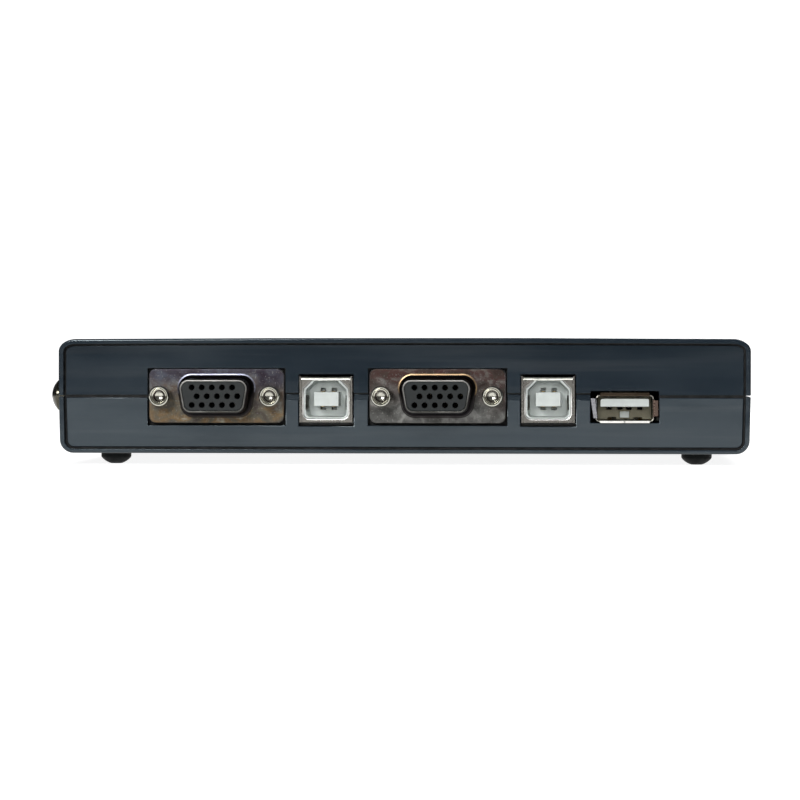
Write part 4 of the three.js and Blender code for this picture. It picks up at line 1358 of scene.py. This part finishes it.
def usb_a_right_tab():
    return turned(flared_lip(A_HALF_WIDTH - A_SHEET, 7.45, 2.1, 1.75, radius=0.45, lean=0.12), 90)


def usb_a_left_tab():
    """Bent out less than the other, and twisted."""
    return turned(flared_lip(A_HALF_WIDTH - A_SHEET, 7.3, 2.3, 2.2, radius=0.25, lean=0.3, twist=0.32), -90)


def usb_a_block():
    """The block at the back of the sleeve with its four contact slots."""
    block = bmesh.new()
    box(block, (-6.1, 8.4, -2.6), (6.1, 13.0, 2.6), 0.1)
    slots = bmesh.new()
    for x in CONTACTS_A:
        box(slots, (x - 0.6, 7, -0.5), (x + 0.6, 14, 0.24))
    return cut(block, slots)


def usb_a_tongue():
    """The tongue under the roof, and the key that stands out of the block below it."""
    bm = bmesh.new()
    outline = rounded([(-5.45, 0.32), (5.45, 0.32), (5.45, 2.12), (-5.45, 2.12)], [0.12, 0.12, 0.5, 0.5])
    plate(bm, outline, 0.95, 8.6, 0.14)
    box(bm, (-1.05, 6.9, -2.25), (1.05, 8.8, -0.8), 0.15)
    return bm


def usb_a_contacts():
    """Gilt blades under the tongue, each of which goes into its slot."""
    bm = bmesh.new()
    for x in CONTACTS_A:
        box(bm, (x - 0.5, 3.5, 0.26), (x + 0.5, 9.5, 0.38), 0.03, 1)
    return bm


def usb_a_springs():
    """Two leaf springs bowed up from the floor and two bowed down from the roof."""
    bm = bmesh.new()
    inside = A_HALF_HEIGHT - A_SHEET
    for x in (-2.9, 3.0):
        for side, height in ((-1, 0.75), (1, 0.35)):
            rings = []
            for i in range(11):
                share = i / 10
                z = side * (inside + 0.05 - height * math.sin(math.pi * share))
                y = 1.6 + 5.2 * share
                narrow = 1.15 - 0.25 * math.sin(math.pi * share)
                under = z + side * 0.2
                rings.append([(x - narrow, y, z), (x + narrow, y, z), (x + narrow, y, under), (x - narrow, y, under)])
            loft(bm, rings)
    return bm


def make_usb_a(name):
    matrix = port_matrix(name + "_shell", 0)
    piece(name + "_sleeve", usb_a_sleeve(), FLARE_METAL, [name + "_shell"], matrix=matrix)
    piece(name + "_roof_lip", usb_a_roof_lip(), ROOF_LIP_SHADE_METAL, matrix=matrix)
    piece(name + "_floor_lip", usb_a_floor_lips(), FLOOR_LIP_HIGHLIGHT_METAL, matrix=matrix)
    piece(name + "_left_tab", usb_a_left_tab(), SILVER_TAB_METAL, matrix=matrix)
    piece(name + "_right_tab", usb_a_right_tab(), COPPER_TAB_METAL, matrix=matrix)
    piece(name + "_springs", usb_a_springs(), USB_METAL, matrix=matrix)
    piece(name + "_block", usb_a_block(), BEIGE_SHADED, matrix=matrix)
    piece(name + "_blade", usb_a_tongue(), WHITE, [name + "_tongue"], matrix=matrix)
    piece(name + "_contacts", usb_a_contacts(), GOLD, matrix=matrix)


# ---------------------------------------------------------------- select button and lamps

def make_button():
    low, high = node_box("select_button_cap")
    y, z = (low.y + high.y) / 2, (low.z + high.z) / 2
    radius, dome = 3.5, 4.8
    face = low.x
    profile = []
    steps = 20
    spread_angle = math.asin((radius - 0.12) / dome)
    for i in range(steps + 1):
        angle = spread_angle * i / steps
        profile.append((dome * math.sin(angle), face + dome * (1 - math.cos(angle))))
    edge = profile[-1][1]
    collar = CASE_X - HALF_WIDTH + WALL + 0.2
    profile += [(radius - 0.03, edge + 0.08), (radius, edge + 0.25), (radius, collar), (4.6, collar)]
    profile += [(4.6, collar + 1), (2.5, collar + 1.05), (2.5, high.x), (1.6, high.x), (1.6, high.x - 2.4), (0, high.x - 2.4)]
    bm = bmesh.new()
    lathe(bm, profile, 72, "X")
    matrix = Matrix.Translation((0, y, z))
    piece("button_cap", bm, BUTTON_METAL, ["select_button_cap"], BUTTON, matrix)


def make_spring():
    """The return spring as a round wire, with its end coils closed."""
    low, high = node_box("switch_spring")
    y, z = (low.y + high.y) / 2, (low.z + high.z) / 2
    wire, mean, turns, sides, per_turn = 0.2, 1.93, 4, 10, 28
    bm = bmesh.new()
    rings = []
    count = turns * per_turn
    start, end = low.x + wire, high.x - wire
    for i in range(count + 1):
        share = i / count
        eased = share + 0.045 * math.sin(2 * math.pi * share) * -1
        x = start + (end - start) * eased
        angle = 2 * math.pi * turns * share
        ring = []
        for side in range(sides):
            turn = 2 * math.pi * side / sides
            out = mean + wire * math.cos(turn)
            ring.append((x + wire * math.sin(turn), out * math.cos(angle), out * math.sin(angle)))
        rings.append(ring)
    loft(bm, rings)
    matrix = Matrix.Translation((0, y, z))
    obj = piece("return_spring", bm, SPRING_METAL, ["switch_spring"], CASE, matrix)
    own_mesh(obj)


def make_led(name):
    low, high = node_box(name)
    x, z = (low.x + high.x) / 2, CASE_BOTTOM + PARTING
    front = high.y
    profile = [(0, front - 6.0), (2.7, front - 6.0), (2.7, front - 3.5), (1.5, front - 3.4), (1.5, front - 1.5)]
    for i in range(1, 9):
        angle = math.pi / 2 * i / 8
        profile.append((1.5 * math.cos(angle) if i < 8 else 0, front - 1.5 + 1.5 * math.sin(angle)))
    bm = bmesh.new()
    lathe(bm, profile, 40)
    piece(name + "_lens", bm, LED, [name], matrix=Matrix.Translation((x, 0, z)))
    wires = bmesh.new()
    for side in (-1, 1):
        box(wires, (side * 1.0 - 0.25, front - 8.0, -0.25), (side * 1.0 + 0.25, front - 5.8, 0.25), 0.06, 1)
        box(wires, (side * 1.0 - 0.25, front - 8.0, -5.9), (side * 1.0 + 0.25, front - 7.5, 0.25), 0.06, 1)
    piece(name + "_leads", wires, SCREW_METAL, matrix=Matrix.Translation((x, 0, z)))


# ---------------------------------------------------------------- inside

def chip_leads():
    """Gull-wing leads along two sides of each chip."""
    bm = bmesh.new()
    board = node_box("main_board")[1].z
    for name, pitch in (("controller_chip", 0.8), ("usb_hub_chip", 0.8), ("video_switch_chip", 1.27)):
        low, high = node_box(name)
        count = int((high.x - low.x - 1) / pitch)
        start = (low.x + high.x) / 2 - (count - 1) * pitch / 2
        for i in range(count):
            x = start + i * pitch
            for side, y in ((-1, low.y), (1, high.y)):
                y0, y1 = sorted((y, y + side * 0.9))
                box(bm, (x - 0.17, y0, board + 0.02), (x + 0.17, y1, board + 0.2))
                y0, y1 = sorted((y, y + side * 0.25))
                box(bm, (x - 0.17, y0, board + 0.1), (x + 0.17, y1, board + 0.8))
    return bm


def finish_inner_nodes():
    """The CAD nodes that keep their shape get the finish of what they are."""
    finishes = {
        "main_board": (BOARD, None),
        "controller_chip": (CHIP, None),
        "usb_hub_chip": (CHIP, None),
        "video_switch_chip": (CHIP, None),
        "crystal": (CAN_METAL, 0.5),
        "board_capacitor": (CAN_METAL, 0.15),
        "port_capacitor": (CAN_METAL, 0.15),
        "switch_housing": (SWITCH_BODY, 0.3),
        "switch_plunger": (WHITE, 0.1),
    }
    for name, (material, bevel) in finishes.items():
        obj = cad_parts[name]
        obj.data.materials.clear()
        obj.data.materials.append(material)
        if bevel:
            rounding = obj.modifiers.new("edges", "BEVEL")
            rounding.width = bevel * MM
            rounding.segments = 3
            rounding.limit_method = "ANGLE"
            rounding.angle_limit = math.radians(40)
    piece("chip_leads", chip_leads(), SCREW_METAL)


# ---------------------------------------------------------------- camera, light and floor

def make_camera():
    data = bpy.data.cameras.new("camera")
    data.sensor_width = 36
    data.lens = 131.8
    data.clip_start = 0.01
    camera = bpy.data.objects.new("camera", data)
    bpy.context.scene.collection.objects.link(camera)
    panel_y = -HALF_DEPTH + RECESS
    place = Vector((CASE_X + 42.9, panel_y - 660, 26.0)) * MM
    target = Vector((CASE_X - 0.52, panel_y, 14.7)) * MM
    camera.location = place
    camera.rotation_mode = "QUATERNION"
    camera.rotation_quaternion = (target - place).to_track_quat("-Z", "Y")
    bpy.context.scene.camera = camera


def make_floor():
    """A white table lit from below, which keeps the shadow under the case faint."""
    material = new_material("pale_floor", (0.35, 0.35, 0.35), 0.7, specular=0.2)
    shader_input(material, "Emission Color").default_value = (1, 1, 1, 1)
    place = node(material, "ShaderNodeTexCoord")
    distance = node(material, "ShaderNodeVectorMath", operation="LENGTH")
    link(material, place.outputs["Object"], distance.inputs[0])
    # The floor's glow is painted light: 0.88 near the case, rising to 1.05 far out where it meets the backdrop.
    glow = spread(material, distance.outputs["Value"], 0.88, 1.05, 0.12, 0.5)
    link(material, glow, shader_input(material, "Emission Strength"))
    cloud = noise(material, 3, 2)
    color = ramp(material, cloud, [(0.3, (0.34, 0.34, 0.34)), (0.7, (0.36, 0.36, 0.36))])
    link(material, color, shader_input(material, "Base Color"))
    bm = bmesh.new()
    bmesh.ops.create_grid(bm, x_segments=1, y_segments=1, size=5.6)
    stage_object("floor", bm, material).visible_diffuse = False


def stage_object(name, bm, material):
    mesh = bpy.data.meshes.new(name)
    bm.to_mesh(mesh)
    bm.free()
    mesh.materials.append(material)
    obj = bpy.data.objects.new(name, mesh)
    bpy.context.scene.collection.objects.link(obj)
    return obj


def make_backdrop():
    """A white dome behind everything, which only the camera sees."""
    material = new_material("white_backdrop", (0, 0, 0), 1)
    shader_input(material, "Emission Color").default_value = (1, 1, 1, 1)
    shader_input(material, "Emission Strength").default_value = 1.2
    bm = bmesh.new()
    bmesh.ops.create_uvsphere(bm, u_segments=48, v_segments=24, radius=5.5)
    dome = stage_object("backdrop", bm, material)
    dome.visible_diffuse = False
    dome.visible_glossy = False
    dome.visible_shadow = False
    dome.visible_transmission = False


def make_reflection_wall():
    """A dark ring round the table that only reflections see: it gives the gloss its horizon."""
    material = new_material("dark_wall", (0.02, 0.02, 0.022), 0.9)
    bm = bmesh.new()
    radius, top, segments = 0.42, 0.08, 48
    rings = []
    for z in (0, top):
        circle = []
        for step in range(segments):
            angle = 2 * math.pi * step / segments
            circle.append(bm.verts.new((radius * math.cos(angle), radius * math.sin(angle), z)))
        rings.append(circle)
    bridge(bm, rings[0], rings[1])
    wall = stage_object("reflection_wall", bm, material)
    wall.visible_camera = False
    wall.visible_diffuse = False
    wall.visible_shadow = False
    wall.visible_transmission = False


def area_light(name, location, size, power, glossy=True):
    """A soft box that faces the case; the camera never sees it."""
    data = bpy.data.lights.new(name, "AREA")
    data.shape = "RECTANGLE"
    data.size, data.size_y = size
    data.energy = power
    light = bpy.data.objects.new(name, data)
    bpy.context.scene.collection.objects.link(light)
    light.location = location
    light.rotation_mode = "QUATERNION"
    light.rotation_quaternion = Vector(location).to_track_quat("Z", "Y")
    light.visible_camera = False
    light.visible_glossy = glossy


def around(distance, azimuth, elevation):
    """A place in metres; azimuth 0 is straight in front of the computers' ports, and it grows to the left."""
    turn, rise = math.radians(azimuth), math.radians(elevation)
    level = distance * math.cos(rise)
    return (-level * math.sin(turn), -level * math.cos(turn), distance * math.sin(rise) + 0.015)


def make_light():
    world = bpy.data.worlds.new("studio")
    bpy.context.scene.world = world
    world.use_nodes = True
    background = world.node_tree.nodes["Background"]
    background.inputs["Color"].default_value = (1, 1, 1, 1)
    background.inputs["Strength"].default_value = 0.12
    area_light("key", around(0.9, 15, 20), (0.20, 0.14), 3.4)
    area_light("front_fill", around(1.0, -4, 6), (0.35, 0.25), 4.5, glossy=False)
    area_light("overhead", around(1.0, 0, 75), (0.9, 0.6), 9, glossy=False)
    area_light("back", around(0.9, 200, 30), (0.5, 0.3), 5)
    bpy.context.scene.view_settings.view_transform = "Standard"


# ---------------------------------------------------------------- build

make_camera()
make_case()
for place in PLACES:
    make_foot(place)
    make_screw("case_screw_" + place, head_down=True)
    make_screw("board_screw_" + place, head_down=False)
for vga_name in ("pc1_vga", "pc2_vga", "console_vga"):
    make_vga(vga_name)
for usb_name in ("pc1_usb", "pc2_usb"):
    make_usb_b(usb_name)
for usb_name in ("shared_usb", "keyboard_usb", "mouse_usb"):
    make_usb_a(usb_name)
make_button()
make_spring()
for led_name in ("pc1_led", "pc2_led"):
    make_led(led_name)
finish_inner_nodes()
make_floor()
make_backdrop()
make_reflection_wall()
make_light()
